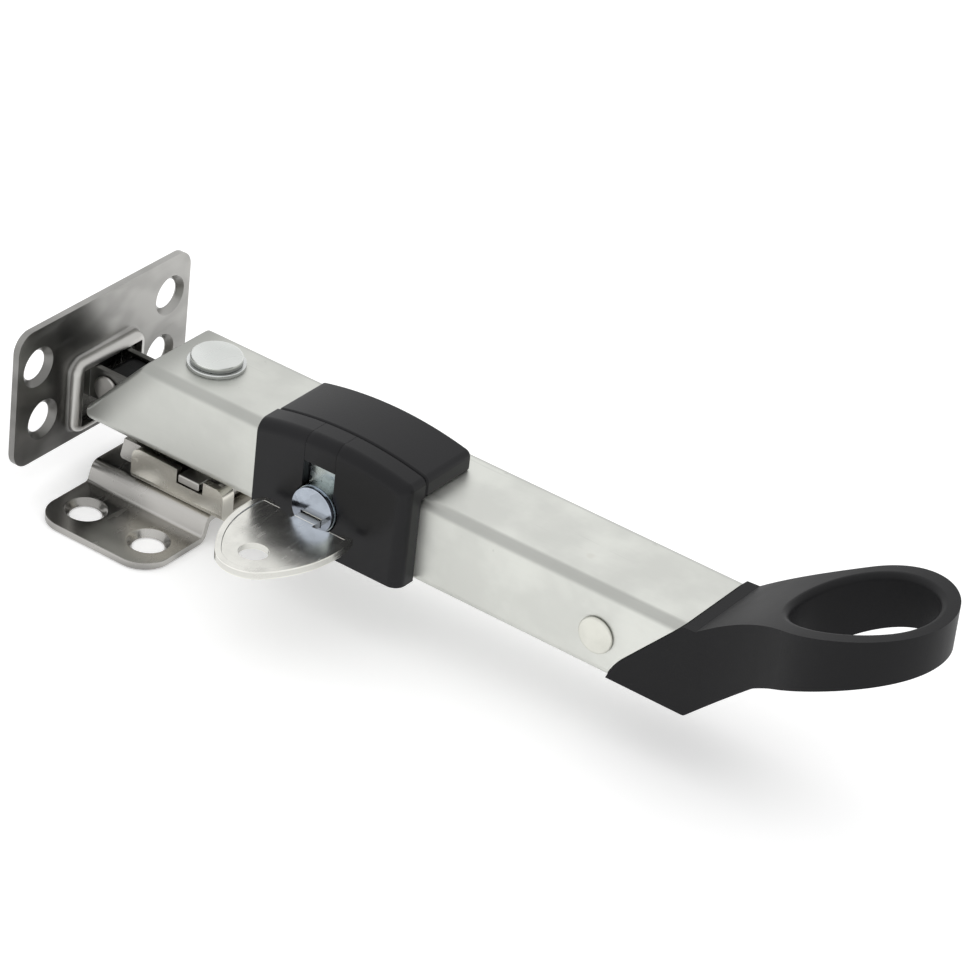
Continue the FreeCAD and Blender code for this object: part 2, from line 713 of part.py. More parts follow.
# Top pin and its washer: the link swivels on the pin under the tube's roof
def make_top_pin():
    pin = new_body("top_pin", x="tube_start + pin_place", z="tube_floor")
    half = new_sketch(pin, "TopPinSection", "XZ")
    seat, crown = "tube_rise + pin_washer_gauge", "tube_rise + pin_washer_gauge + pin_head_rise"
    foot = "link_floor - running_gap"
    ease = "pin_head_rise * 0.4"
    outline(half, [
        ("0", f"{foot} - pin_foot_rise"), ("pin_foot / 2", f"{foot} - pin_foot_rise"),
        ("pin_foot / 2", foot), ("pin_shank / 2", foot), ("pin_shank / 2", seat),
        ("pin_head / 2", seat), ("pin_head / 2", f"{crown} - {ease}"),
        (f"pin_head / 2 - {ease}", crown, ease), ("0", crown),
    ])
    revolve(pin, half, "z")
    washer = new_body("pin_washer", x="tube_start + pin_place", z="tube_floor + tube_rise")
    ring = new_sketch(washer, "PinWasherRing", "XY")
    circle(ring, "0", "0", "pin_washer_size")
    circle(ring, "0", "0", "pin_shank")
    pad(washer, ring, "pin_washer_gauge")
    return pin, washer


# Link: swivels on the top pin and carries the cross rivet of the sash clevis
def make_link():
    link = tube_body("swivel_link")
    side = new_sketch(link, "LinkSide", "XZ")
    eye = "link_eye"
    step = "tilt_place + 2 * link_eye"
    outline(side, [
        ("tilt_place", f"tilt_rise - {eye}", eye), (step, f"tilt_rise - {eye}"),
        (f"{step} + link_ramp", "link_floor"), ("pin_place", "link_floor"),
        ("pin_place", "link_crown"), (f"{step} + link_back_run", "link_crown"),
        (f"{step} - link_back_lean", f"tilt_rise + {eye}"),
        ("tilt_place", f"tilt_rise + {eye}"), (f"tilt_place - {eye}", "tilt_rise", eye),
    ])
    pad(link, side, LINK_WIDTH, symmetric=True)
    boss = new_sketch(link, "LinkBoss", "XY", offset="link_floor")
    circle(boss, "pin_place", "0", "link_boss")
    pad(link, boss, "link_crown - link_floor")
    bore = new_sketch(link, "LinkBore", "XY", offset="link_crown")
    circle(bore, "pin_place", "0", "pin_shank + 2 * bushing_wall")
    pocket(link, bore, "link_crown")
    cross = new_sketch(link, "TiltHole", "XZ")
    circle(cross, "tilt_place", "tilt_rise", "tilt_shank")
    pocket(link, cross, "2 * clevis_width", symmetric=True)
    bushing = new_body("link_bushing", x="tube_start + pin_place", z="tube_floor + link_floor")
    ring = new_sketch(bushing, "BushingRing", "XY")
    circle(ring, "0", "0", "pin_shank + 2 * bushing_wall")
    circle(ring, "0", "0", "pin_shank + running_gap")
    pad(bushing, ring, "link_crown - link_floor")
    rivet = turned_pin("tilt_rivet", "tilt_place", "tilt_rise", "(clevis_width / 2 + running_gap)",
                       "tilt_shank", "tilt_head", "tilt_head_rise")
    return link, bushing, rivet


# Sash clevis: folded fork behind the plate's collar
def make_sash():
    lip = "plate_face + draw_depth - draw_wall"
    clevis = tube_body("sash_clevis")
    side = new_sketch(clevis, "ForkSide", "XZ")
    slant = "clevis_eye * sqrt(0.5)"
    mouth_top = "draw_floor + draw_rise - draw_lip - free_gap"
    outline(side, [
        (lip, "tilt_rise - clevis_eye"), ("tilt_place", "tilt_rise - clevis_eye"),
        (f"tilt_place + {slant}", f"tilt_rise - {slant}", "clevis_eye"),
        ("tilt_place + clevis_reach", "tilt_rise + clevis_saddle"),
        ("tilt_place + clevis_reach", mouth_top), (lip, mouth_top),
    ])
    pad(clevis, side, "clevis_width", symmetric=True)
    fork = new_sketch(clevis, "ForkGap", "XY")
    gap = "clevis_width / 2 - clevis_gauge"
    box_outline(fork, lip, "tilt_place + 2 * clevis_reach", f"-({gap})", gap)
    pocket(clevis, fork, symmetric=True)
    cross = new_sketch(clevis, "ForkHole", "XZ")
    circle(cross, "tilt_place", "tilt_rise", "tilt_shank + running_gap")
    pocket(clevis, cross, "2 * clevis_width", symmetric=True)
    base = new_sketch(clevis, "ForkBase", "YZ", offset=f"{lip} - clevis_gauge")
    inset = "(draw_wall + 2 * running_gap)"
    box_outline(base, f"{inset} - draw_width / 2", f"draw_width / 2 - {inset}",
                f"draw_floor + {inset}", f"draw_floor + draw_rise - {inset}")
    pad(clevis, base, "clevis_gauge")

    plate = tube_body("sash_plate")
    blank = new_sketch(plate, "PlateBlank", "YZ", offset="plate_face - sheet_gauge")
    box_outline(blank, "-plate_width / 2", "plate_width / 2", "plate_floor",
                "plate_floor + plate_rise")
    pad(plate, blank, "sheet_gauge")
    dress(plate, "Fillet", straight_edges(
        plate, "x", y=plus_minus("plate_width / 2"),
        z=["plate_floor", "plate_floor + plate_rise"]), "plate_corner")
    collar = new_sketch(plate, "DrawnCollar", "YZ", offset="plate_face")
    box_outline(collar, "-draw_width / 2", "draw_width / 2", "draw_floor",
                "draw_floor + draw_rise")
    pad(plate, collar, "draw_depth")
    dress(plate, "Fillet", straight_edges(
        plate, "x", x=["plate_face + draw_depth / 2"], y=plus_minus("draw_width / 2"),
        z=["draw_floor", "draw_floor + draw_rise"]), "draw_corner")
    front = "plate_face + draw_depth"
    dress(plate, "Fillet", edges_at(plate, "x", front), "draw_round")
    round_collar = ("draw_width / 2 + seat_gap", "draw_floor + draw_rise / 2",
                    "draw_rise / 2 + seat_gap")
    dress(plate, "Fillet", edges_at(plate, "x", "plate_face", inside=round_collar), "draw_foot")
    recess = new_sketch(plate, "CollarRecess", "YZ", offset="plate_face - sheet_gauge")
    box_outline(recess, "draw_wall - draw_width / 2", "draw_width / 2 - draw_wall",
                "draw_floor + draw_wall", "draw_floor + draw_rise - draw_wall")
    pocket(plate, recess, "sheet_gauge + draw_depth - draw_wall", reverse=True)
    mouth = new_sketch(plate, "CollarMouth", "YZ", offset=front)
    box_outline(mouth, "draw_lip - draw_width / 2", "draw_width / 2 - draw_lip",
                "draw_floor + draw_lip", "draw_floor + draw_rise - draw_lip")
    pocket(plate, mouth, "2 * draw_wall")
    screws = new_sketch(plate, "SashScrews", "YZ", offset="plate_face")
    for pitch, row in (("sash_pitch_top", "sash_row_top"), ("sash_pitch_low", "sash_row_low")):
        for y in plus_minus(f"{pitch} / 2"):
            circle(screws, y, row, "screw_hole")
    sunk_holes(plate, screws)
    return clevis, plate


def edges_at(body, axis, place, inside=None):
    """Name all edges in the plane axis = place, or those inside (half y, mid z, half z)."""
    found = []
    for number, edge in enumerate(body.Tip.Shape.Edges, start=1):
        box = edge.BoundBox
        low, high = getattr(box, f"{axis.upper()}Min"), getattr(box, f"{axis.upper()}Max")
        if abs(low - size(place)) > 0.01 or abs(high - size(place)) > 0.01:
            continue
        if inside:
            half_y, mid_z, half_z = (size(one) for one in inside)
            if max(abs(box.YMin), abs(box.YMax)) > half_y:
                continue
            if max(abs(box.ZMin - mid_z), abs(box.ZMax - mid_z)) > half_z:
                continue
        found.append(f"Edge{number}")
    if not found:
        raise ValueError(f"no edge of {body.Name} at {axis} = {place}")
    return found


# Lock housing: a cheek on the near side that turns over the tube's top to a seam
def housing_blank(name, y_low, y_high, floor):
    """Raise the arched side outline of the housing between two places across the tube."""
    body = tube_body(name)
    side = new_sketch(body, f"{name}_arch", "XZ", offset=f"-({y_low})")
    end, edge = "housing_start + housing_length", "tube_rise + crown_edge"
    climb = "(crown_rise - crown_edge)"
    crown_radius = f"(housing_length ^ 2 / 4 + {climb} ^ 2) / (2 * {climb})"
    outline(side, [
        ("housing_start", floor), (end, floor), (end, edge),
        ("housing_start", edge, crown_radius),
    ])
    pad(body, side, f"({y_high}) - ({y_low})", reverse=True)
    dress(body, "Fillet", straight_edges(body, "y", x=[end], z=[edge]), "cap_round")
    return body


def shoulder_edges(body, y):
    """Name the edges of the arch and of the corner beside it in the plane y."""
    return [name for name in edges_at(body, "y", y)
            if body.Tip.Shape.getElement(name).CenterOfMass.z > size("tube_rise + crown_edge / 2")]


def make_housing():
    near = "-(tube_width / 2 + cheek_gauge)"
    seam = f"{SEAM} - seam_width / 2"
    cheek = housing_blank("lock_housing", near, seam, "housing_floor")
    dress(cheek, "Fillet", shoulder_edges(cheek, near), "shoulder_round")
    room = new_sketch(cheek, "TubeRoom", "YZ", offset="housing_start - 1")
    box_outline(room, "-tube_width / 2", "0", "housing_floor - 1", "tube_rise")
    pocket(cheek, room, "housing_length + 2", reverse=True)
    slot = new_sketch(cheek, "StripSlot", "XZ", offset=f"-({near})")
    box_outline(slot, "lock_place - strip_width / 2", "lock_place + strip_width / 2",
                "lock_rise", "tube_rise + crown_rise + 1")
    pocket(cheek, slot, "strip_depth")
    top = new_sketch(cheek, "StripSlotTop", "XY", offset="tube_rise + crown_rise + 1")
    box_outline(top, "lock_place - strip_width / 2", "lock_place + strip_width / 2", near, seam)
    pocket(cheek, top, "strip_depth + 1")
    window = new_sketch(cheek, "LockWindow", "XZ", offset=f"-({near})")
    box_outline(window, "lock_place - strip_width / 2", "lock_place + strip_width / 2",
                "lock_rise", "window_top")
    pocket(cheek, window, "2 * cheek_gauge")
    bore = new_sketch(cheek, "LockBore", "XZ", offset=f"-({near})")
    circle(bore, "lock_place", "lock_rise", "barrel_size + 6 * running_gap")
    pocket(cheek, bore, "2 * cheek_gauge")
    blind = new_sketch(cheek, "RivetHoles", "XZ", offset="tube_width / 2")
    for x in HOUSING_RIVETS:
        circle(blind, x, "lock_rise", "cheek_rivet")
    pocket(cheek, blind, "cheek_gauge / 2", reverse=True)

    strip = housing_blank("filler_strip", near, seam, "window_top")
    dress(strip, "Fillet", shoulder_edges(strip, near), "shoulder_round")
    left, right = "lock_place - strip_width / 2 + seat_gap", "lock_place + strip_width / 2 - seat_gap"
    sides = new_sketch(strip, "StripSides", "XY", offset="2 * tube_rise")
    box_outline(sides, "housing_start - 1", left, f"{near} - 1", "0")
    box_outline(sides, right, "housing_start + housing_length + 1", f"{near} - 1", "0")
    pocket(strip, sides, "2 * tube_rise")
    back = new_sketch(strip, "StripBack", "YZ", offset="housing_start")
    box_outline(back, f"{near} + strip_depth - seat_gap", "0", "window_top - 1",
                "tube_rise + crown_rise - strip_depth + 3 * seat_gap")
    pocket(strip, back, "housing_length", reverse=True)

    far = "housing_reach"
    cap_side = f"{SEAM} + seam_width / 2"
    cap = housing_blank("housing_cap", cap_side, far, "tube_rise")
    hollow = new_sketch(cap, "CapHollow", "XY", offset="tube_rise")
    box_outline(hollow, "housing_start + cap_wall", "housing_start + housing_length - cap_wall",
                f"{cap_side} + cap_wall", f"{far} - cap_wall")
    pocket(cap, hollow, "crown_edge - cap_wall", reverse=True)
    tray = new_body("cap_tray", x="tube_start", z="tube_floor + tube_rise")
    plan = new_sketch(tray, "TrayPlan", "XY")
    box_outline(plan, "housing_start + cap_wall + seat_gap",
                "housing_start + housing_length - cap_wall - seat_gap",
                f"{cap_side} + cap_wall + seat_gap",
                f"{far} - cap_wall - seat_gap")
    pad(tray, plan, "tray_gauge")
    rivets = []
    for side, x in zip(("left", "right"), HOUSING_RIVETS):
        rivet = new_body(f"cheek_rivet_{side}", x=f"tube_start + {x}",
                         z="tube_floor + lock_rise")
        half = new_sketch(rivet, f"CheekRivet_{side}", "XY")
        wall = "tube_wall - tube_width / 2"
        outline(half, [
            ("0", "-tube_width / 2 - cheek_gauge / 2"),
            ("cheek_rivet / 2", "-tube_width / 2 - cheek_gauge / 2"),
            ("cheek_rivet / 2", wall), ("cheek_rivet_head / 2", wall),
            ("cheek_rivet_head / 2", f"{wall} + cheek_rivet_rise"),
            ("0", f"{wall} + cheek_rivet_rise"),
        ])
        revolve(rivet, half, "y")
        rivets.append(rivet)
    return cheek, strip, cap, tray, *rivets


# Lock: a fixed zinc barrel, a plug that turns in it, and a cam on the plug's inner end
def make_lock():
    barrel = tube_body("lock_barrel")
    round_part = new_sketch(barrel, "BarrelRound", "XZ", offset=f"-{BARREL_FRONT}")
    circle(round_part, "lock_place", "lock_rise", "barrel_size")
    pad(barrel, round_part, f"barrel_back - {BARREL_FRONT}", reverse=True)
    rib = new_sketch(barrel, "BarrelRib", "XZ", offset="tube_width / 2 + bridge_gauge")
    box_outline(rib, "lock_place - bridge_width / 2", "lock_place + bridge_width / 2",
                "lock_rise", "window_top - seat_gap")
    pad(barrel, rib, "bridge_gauge - seat_gap", reverse=True)
    bore = new_sketch(barrel, "BarrelBore", "XZ", offset=f"-{BARREL_FRONT}")
    circle(bore, "lock_place", "lock_rise", "plug_size + running_gap")
    pocket(barrel, bore)

    plug = new_body("lock_plug", x="tube_start + lock_place", z="tube_floor + lock_rise")
    half = new_sketch(plug, "PlugSection", "XY")
    face = f"({BARREL_FRONT} - running_gap / 2)"
    outline(half, [
        ("0", f"{face} - plug_face_gauge"), ("plug_face_size / 2", f"{face} - plug_face_gauge"),
        ("plug_face_size / 2", face), ("plug_size / 2", face), ("plug_size / 2", "plug_back"),
        ("0", "plug_back"),
    ])
    revolve(plug, half, "y")
    keyway = new_sketch(plug, "Keyway", "XZ", offset=f"plug_face_gauge - ({face})")
    way, slit = "key_blade_width / 2 + running_gap", "keyway_gauge / 2"
    box_outline(keyway, f"-({way})", way, f"-key_drop - {slit}", f"{slit} - key_drop")
    pocket(plug, keyway, f"bow_edge + key_blade_length + plug_face_gauge - ({face}) + free_gap")
    thread = new_sketch(plug, "CamScrewHole", "XZ", offset="-plug_back")
    circle(thread, "0", "0", "cam_screw_size")
    pocket(plug, thread, "plug_back", reverse=True)

    cam = new_body("lock_cam", x="tube_start + lock_place", z="tube_floor + lock_rise")
    arm = new_sketch(cam, "CamArm", "XZ", offset="-plug_back")
    wide = "cam_width / 2"
    outline(arm, [
        ("0", f"-{wide}", wide), (f"cam_reach - {wide} / 2", f"-{wide}"),
        ("cam_reach", f"-{wide} / 2", f"{wide} / 2"), ("cam_reach", f"{wide} / 2"),
        (f"cam_reach - {wide} / 2", wide, f"{wide} / 2"), ("0", wide), (f"-{wide}", "0", wide),
    ])
    pad(cam, arm, "cam_gauge", reverse=True)
    eye = new_sketch(cam, "CamEye", "XZ", offset="-plug_back")
    circle(eye, "0", "0", "cam_screw_size")
    pocket(cam, eye, "2 * cam_gauge")
    screw = new_body("cam_screw", x="tube_start + lock_place", z="tube_floor + lock_rise")
    turned = new_sketch(screw, "CamScrewSection", "XY")
    seat = "plug_back + cam_gauge"
    outline(turned, [
        ("0", "running_gap"), ("cam_screw_size / 2", "running_gap"), ("cam_screw_size / 2", seat),
        ("cam_screw_head / 2", seat), ("cam_screw_head / 2", f"{seat} + cam_screw_rise"),
        ("0", f"{seat} + cam_screw_rise"),
    ])
    revolve(screw, turned, "y")
    slot = new_sketch(screw, "CamScrewSlot", "XZ", offset=f"-({seat} + cam_screw_rise)")
    box_outline(slot, "-cam_screw_head", "cam_screw_head", "-cam_screw_rise / 5",
                "cam_screw_rise / 5")
    pocket(screw, slot, "cam_screw_rise / 2", reverse=True)
    return barrel, plug, cam, screw


# Key: a flat bow with a ring hole, and a notched blade in the plug's keyway
def make_key():
    key = new_body("key", x="tube_start + lock_place",
                   z="tube_floor + lock_rise - key_drop - key_gauge / 2")
    bow = new_sketch(key, "KeyBow", "XY")
    bow_outline(bow, "0")
    pad(key, bow, "key_gauge")
    for side, offset in (("Top", "key_gauge"), ("Under", "0")):
        panel = new_sketch(key, f"Key{side}Panel", "XY", offset=offset)
        bow_outline(panel, "key_rim")
        pocket(key, panel, "key_panel_depth", reverse=side == "Under")
    blade = new_sketch(key, "KeyBlade", "XY")
    half = "key_blade_width / 2"
    tip = "bow_edge + key_blade_length"
    outline(blade, [
        (f"-({half})", "bow_edge - key_rim"), (half, "bow_edge - key_rim"),
        (half, f"{tip} - key_tip_cut"), (f"{half} - key_tip_cut", tip),
        (f"key_tip_cut - {half}", tip), (f"-({half})", f"{tip} - key_tip_cut"),
    ])
    pad(key, blade, "key_gauge")
    bits = new_sketch(key, "KeyBitting", "XY", offset="key_gauge")
    for number, depth in enumerate(KEY_NOTCHES):
        y = f"{tip} - key_notch_start - {number} * key_notch_pitch"
        spread = f"({depth} + key_notch_mouth)"
        outline(bits, [(f"{half} - {depth}", y),
                       (f"{half} + key_notch_mouth", f"{y} - {spread}"),
                       (f"{half} + key_notch_mouth", f"{y} + {spread}")])
    pocket(key, bits, "2 * key_gauge")
    hole = new_sketch(key, "KeyRingHole", "XY", offset="key_gauge")
    circle(hole, "0", "bow_hole_place", "bow_hole")
    pocket(key, hole, "2 * key_gauge")
    return key


def bow_outline(sketch, inset):
    """Draw the bow's oval, cut off toward the blade, set back from its edge by an inset."""
    tip_round = f"(bow_half_width ^ 2 / bow_half_length * {BOW_FULLNESS} - {inset})"
    half_width = f"(bow_half_width - {inset})"
    (join_y, join_x), (end_round, side_round) = oval(
        f"(bow_half_length - {inset})", half_width, tip_round)
    edge = f"(bow_edge - {inset})"
    crest_x = (f"sqrt({side_round} ^ 2 - ({edge} - bow_place) ^ 2)"
               f" - ({side_round} - {half_width})")
    outline(sketch, [
        (f"-({crest_x})", edge), (f"-({join_x})", f"bow_place - ({join_y})", side_round),
        (join_x, f"bow_place - ({join_y})", end_round), (crest_x, edge, side_round),
    ])


def oval(half_length, half_width, end_round):
    """Work out a four-arc oval: its joint point (x, y) and its end and side radii."""
    side_round = (f"((({half_length}) - ({end_round})) ^ 2 + ({half_width}) ^ 2"
                  f" - ({end_round}) ^ 2) / (2 * (({half_width}) - ({end_round})))")
    share = f"(({side_round}) - ({end_round}))"
    x = f"(({half_length}) - ({end_round})) * ({side_round}) / {share}"
    y = f"(({side_round}) - ({half_width})) * ({end_round}) / {share}"
    return (x, y), (f"({end_round})", f"({side_round})")


def grip_body(name):
    """Start a body in the grip's frame: X from the tube's tail end, Z from its underside."""
    return new_body(name, x="tube_start + tube_length", z="tube_floor")


# Grip: one moulding of tongue, neck and finger ring under a crowned top
def make_grip():
    grip = grip_body("ring_grip")
    side = new_sketch(grip, "GripSide", "XZ")
    outline(side, [
        ("grip_tip_x", "0"), ("grip_heel_x", "grip_heel_z"),
        ("grip_end_x", "grip_end_low", "-grip_crown"),
        ("grip_end_x", "grip_end_high"), ("grip_tip_x", "tube_rise + grip_gap", "grip_crown"),
        ("grip_gap", "tube_rise - seat_gap"), ("grip_gap - tail_knee", "tail_knee_rise - running_gap"),
        ("grip_gap - tail_foot", "0", "tail_round"),
    ])
    pad(grip, side, "2.4 * ring_half_width", symmetric=True)

    ring_round = "ring_half_width ^ 2 / ring_half_length"
    (join_x, join_y), (end_round, side_round) = oval(
        "ring_half_length", "ring_half_width", ring_round)
    neck, waist, far = "tube_width / 2", "grip_waist", "3 * ring_half_length"
    reach = f"({side_round} + {waist})"
    drop = f"({neck} + {waist} + {side_round} - ring_half_width)"
    waist_x = f"sqrt({reach} ^ 2 - {drop} ^ 2)"
    touch_x = f"{waist_x} * {side_round} / {reach}"
    touch_y = f"({drop} * {side_round} / {reach} - {side_round} + ring_half_width)"
    for hand, sign in (("Far", ""), ("Near", "-")):
        turn = "-" if not sign else ""
        beside = new_sketch(grip, f"Grip{hand}Side", "XY")
        outline(beside, [
            (f"ring_x + {far}", "0"), (f"ring_x + {far}", f"{sign}({far})"),
            (f"ring_x - {far}", f"{sign}({far})"), (f"ring_x - {far}", f"{sign}({neck})"),
            (f"ring_x - {waist_x}", f"{sign}({neck})"),
            (f"ring_x - {touch_x}", f"{sign}{touch_y}", f"{sign}({waist})"),
            (f"ring_x + {join_x}", f"{sign}({join_y})", f"{turn}({side_round})"),
            ("ring_x + ring_half_length", "0", f"{turn}({end_round})"),
        ])
        pocket(grip, beside, symmetric=True)
    cut_eye(grip)
    dress(grip, "Fillet", straight_edges(grip, "y", x=["grip_tip_x"], z=["0"]), "grip_tip_round")
    tongue = new_sketch(grip, "GripTongue", "YZ", offset="-tongue_reach")
    inner = "tube_width / 2 - tube_wall - seat_gap"
    box_outline(tongue, f"-({inner})", inner, "tube_wall + seat_gap",
                "tube_rise - tube_wall - seat_gap")
    pad(grip, tongue, "tongue_reach - tube_wall")
    dress(grip, "Fillet", straight_edges(
        grip, "x", y=plus_minus(inner),
        z=["tube_wall + seat_gap", "tube_rise - tube_wall - seat_gap"]), "tube_bend - tube_wall")
    cross = new_sketch(grip, "GripRivetBore", "XZ")
    circle(cross, f"-{RIVET_PLACE}", "rivet_rise", "rivet_shank")
    pocket(grip, cross, "2 * tube_width", symmetric=True)
    rivet = turned_pin("grip_rivet", f"tube_length - {RIVET_PLACE}", "rivet_rise",
                       "(tube_width / 2)", "rivet_shank", "rivet_head", "rivet_head_rise")
    return grip, rivet


def cut_eye(grip):
    """Cut the finger eye square to its own tilt, and round its upper rim."""
    eye = new_sketch(grip, "GripEye", "XY")
    eye.AttachmentOffset = Placement(Vector(size("ring_x"), 0, size("ring_z")),
                                     Rotation(Vector(0, 1, 0), -size("eye_tilt")))
    bind(eye, "AttachmentOffset.Base.x", "ring_x")
    bind(eye, "AttachmentOffset.Base.z", "ring_z")
    bind(eye, "AttachmentOffset.Rotation.Angle", "-eye_tilt")
    eye_round = f"eye_half_width ^ 2 / eye_half_length * {EYE_FULLNESS}"
    (join_x, join_y), (end_round, side_round) = oval(
        "eye_half_length", "eye_half_width", eye_round)
    outline(eye, [
        (f"-({join_x})", f"-({join_y})", end_round), (join_x, f"-({join_y})", side_round),
        (join_x, join_y, end_round), (f"-({join_x})", join_y, side_round),
    ])
    pocket(grip, eye, symmetric=True)
    dress(grip, "Fillet", crown_edges(grip, "eye_half_length + eye_rim_round"), "eye_rim_round")


def crown_edges(body, reach):
    """Name the edges on the grip's crowned top that lie near the middle of its ring."""
    start = Vector(size("grip_tip_x"), 0, size("tube_rise + grip_gap"))
    end = Vector(size("grip_end_x"), 0, size("grip_end_high"))
    chord, radius = end - start, size("grip_crown")
    rise = math.sqrt(radius ** 2 - (chord.Length / 2) ** 2)
    centre = (start + end) / 2 + Vector(chord.z, 0, -chord.x).normalize() * rise
    found = []
    for number, edge in enumerate(body.Tip.Shape.Edges, start=1):
        points = edge.discretize(5)
        level = max(abs(math.hypot(p.x - centre.x, p.z - centre.z) - radius) for p in points)
        apart = max(math.hypot(p.x - size("ring_x"), p.y) for p in points)
        if level < 0.02 and apart < size(reach):
            found.append(f"Edge{number}")
    return found


def main():
    made = [make_frame_bracket(), *make_swivel(), make_carriage(), *make_guide(), *make_pawl(),
            make_tube(), *make_top_pin(), *make_link(), *make_sash(), *make_housing(),
            *make_lock(), make_key(), *make_grip()]
    doc.recompute()
    for item in doc.Objects:
        if any(flag in item.State for flag in ("Invalid", "Error")):
            raise RuntimeError(f"{item.Name}: {item.State}")
    os.makedirs("parts", exist_ok=True)
    for item in made:
        if item.Shape.isNull() or not item.Shape.isValid():
            raise RuntimeError(f"{item.Name} has no valid shape")
        item.Shape.exportStep(f"parts/{item.Name}.step")
        box = item.Shape.optimalBoundingBox()
        print(item.Name, len(item.Shape.Solids), round(item.Shape.Volume, 1), box)


main()
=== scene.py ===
"""Studio scene of a locking window stay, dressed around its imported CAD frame.

Lengths are in metres, most of them written in millimetres times MM, and angles are in degrees.
A grain is how many waves a pattern has in a metre, and a gain multiplies a colour.
"""

import json
import logging
import math
from dataclasses import dataclass, field
from enum import Enum
from typing import Any, Iterable, Protocol

import bmesh
import bpy
from mathutils import Matrix, Vector

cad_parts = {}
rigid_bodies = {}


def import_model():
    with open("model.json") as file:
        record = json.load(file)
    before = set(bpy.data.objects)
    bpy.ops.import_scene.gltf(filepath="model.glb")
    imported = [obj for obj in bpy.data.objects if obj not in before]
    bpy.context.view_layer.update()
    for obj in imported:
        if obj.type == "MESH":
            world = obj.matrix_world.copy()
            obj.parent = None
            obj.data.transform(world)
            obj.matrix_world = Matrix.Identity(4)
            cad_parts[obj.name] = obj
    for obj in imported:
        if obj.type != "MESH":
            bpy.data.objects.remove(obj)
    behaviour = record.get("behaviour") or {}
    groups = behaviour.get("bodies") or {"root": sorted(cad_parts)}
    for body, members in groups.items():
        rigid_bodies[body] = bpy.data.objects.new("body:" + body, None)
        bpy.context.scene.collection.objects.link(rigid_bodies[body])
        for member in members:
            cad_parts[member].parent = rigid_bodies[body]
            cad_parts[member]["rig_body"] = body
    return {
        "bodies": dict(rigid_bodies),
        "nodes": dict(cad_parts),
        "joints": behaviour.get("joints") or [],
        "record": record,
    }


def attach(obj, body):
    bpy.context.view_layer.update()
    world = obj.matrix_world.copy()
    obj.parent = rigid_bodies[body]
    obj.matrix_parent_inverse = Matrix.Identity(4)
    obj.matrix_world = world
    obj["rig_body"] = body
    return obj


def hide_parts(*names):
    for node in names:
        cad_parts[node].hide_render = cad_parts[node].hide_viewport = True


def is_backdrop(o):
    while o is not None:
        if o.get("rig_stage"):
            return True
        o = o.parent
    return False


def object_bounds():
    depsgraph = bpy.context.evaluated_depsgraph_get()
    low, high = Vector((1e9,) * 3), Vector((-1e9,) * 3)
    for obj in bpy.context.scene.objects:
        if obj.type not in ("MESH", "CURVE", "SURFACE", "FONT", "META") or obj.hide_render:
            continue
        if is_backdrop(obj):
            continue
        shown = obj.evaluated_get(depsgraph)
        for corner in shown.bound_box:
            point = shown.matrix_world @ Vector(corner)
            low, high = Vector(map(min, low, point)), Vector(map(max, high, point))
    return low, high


log = logging.getLogger("window_stay")

MM = 0.001
Colour = tuple[float, float, float]
PerMetre = tuple[float, float, float]
WHITE: Colour = (1.0, 1.0, 1.0)
BLACK: Colour = (0.0, 0.0, 0.0)
PAPER: Colour = (0.92, 0.92, 0.92)

JOIN_WITHIN = 0.002 * MM
FLAT_WITHIN = math.radians(0.2)
SHARP_FROM = math.radians(32)


def scaled(colour: Colour, gain: float) -> Colour:
    """Brighten or darken a colour by a gain."""
    return tuple(channel * gain for channel in colour)


class Wire:
    """A node socket that takes part in Python arithmetic."""

    def __init__(self, bench: "Bench", socket: bpy.types.NodeSocket) -> None:
        """Wrap a socket of the tree that the bench builds."""
        self.bench = bench
        self.socket = socket

    def _join(self, operation: str, first: Any, second: Any = None) -> "Wire":
        """Add one Math node.

        Args:
            operation: the Math node's operation.
            first: its first value, a number or a wire.
            second: its second value, where it takes one.

        Returns:
            The node's result.
        """
        values = {0: first} if second is None else {0: first, 1: second}
        return self.bench.node("ShaderNodeMath", {"operation": operation}, values)

    def __add__(self, other: Any) -> "Wire":
        """Add a number or a wire."""
        return self._join("ADD", self, other)

    def __sub__(self, other: Any) -> "Wire":
        """Subtract a number or a wire."""
        return self._join("SUBTRACT", self, other)

    def __rsub__(self, other: Any) -> "Wire":
        """Subtract this wire from a number."""
        return self._join("SUBTRACT", other, self)

    def __mul__(self, other: Any) -> "Wire":
        """Multiply by a number or a wire."""
        return self._join("MULTIPLY", self, other)

    __rmul__ = __mul__

    def __radd__(self, other: Any) -> "Wire":
        """Add this wire to a number, and pass it on where the number is nothing."""
        return self if other == 0 else self._join("ADD", other, self)

    def __abs__(self) -> "Wire":
        """Drop the sign."""
        return self._join("ABSOLUTE", self)

    def most(self, other: Any) -> "Wire":
        """Take the larger of this and a number or a wire."""
        return self._join("MAXIMUM", self, other)

    def rise(self, low: float, high: float) -> "Wire":
        """Go smoothly from 0 at low to 1 at high.

        Args:
            low: the value that gives 0.
            high: the value that gives 1.

        Returns:
            The eased value.
        """
        return self.bench.node("ShaderNodeMapRange", {"interpolation_type": "SMOOTHSTEP"},
                               {"Value": self, "From Min": low, "From Max": high})


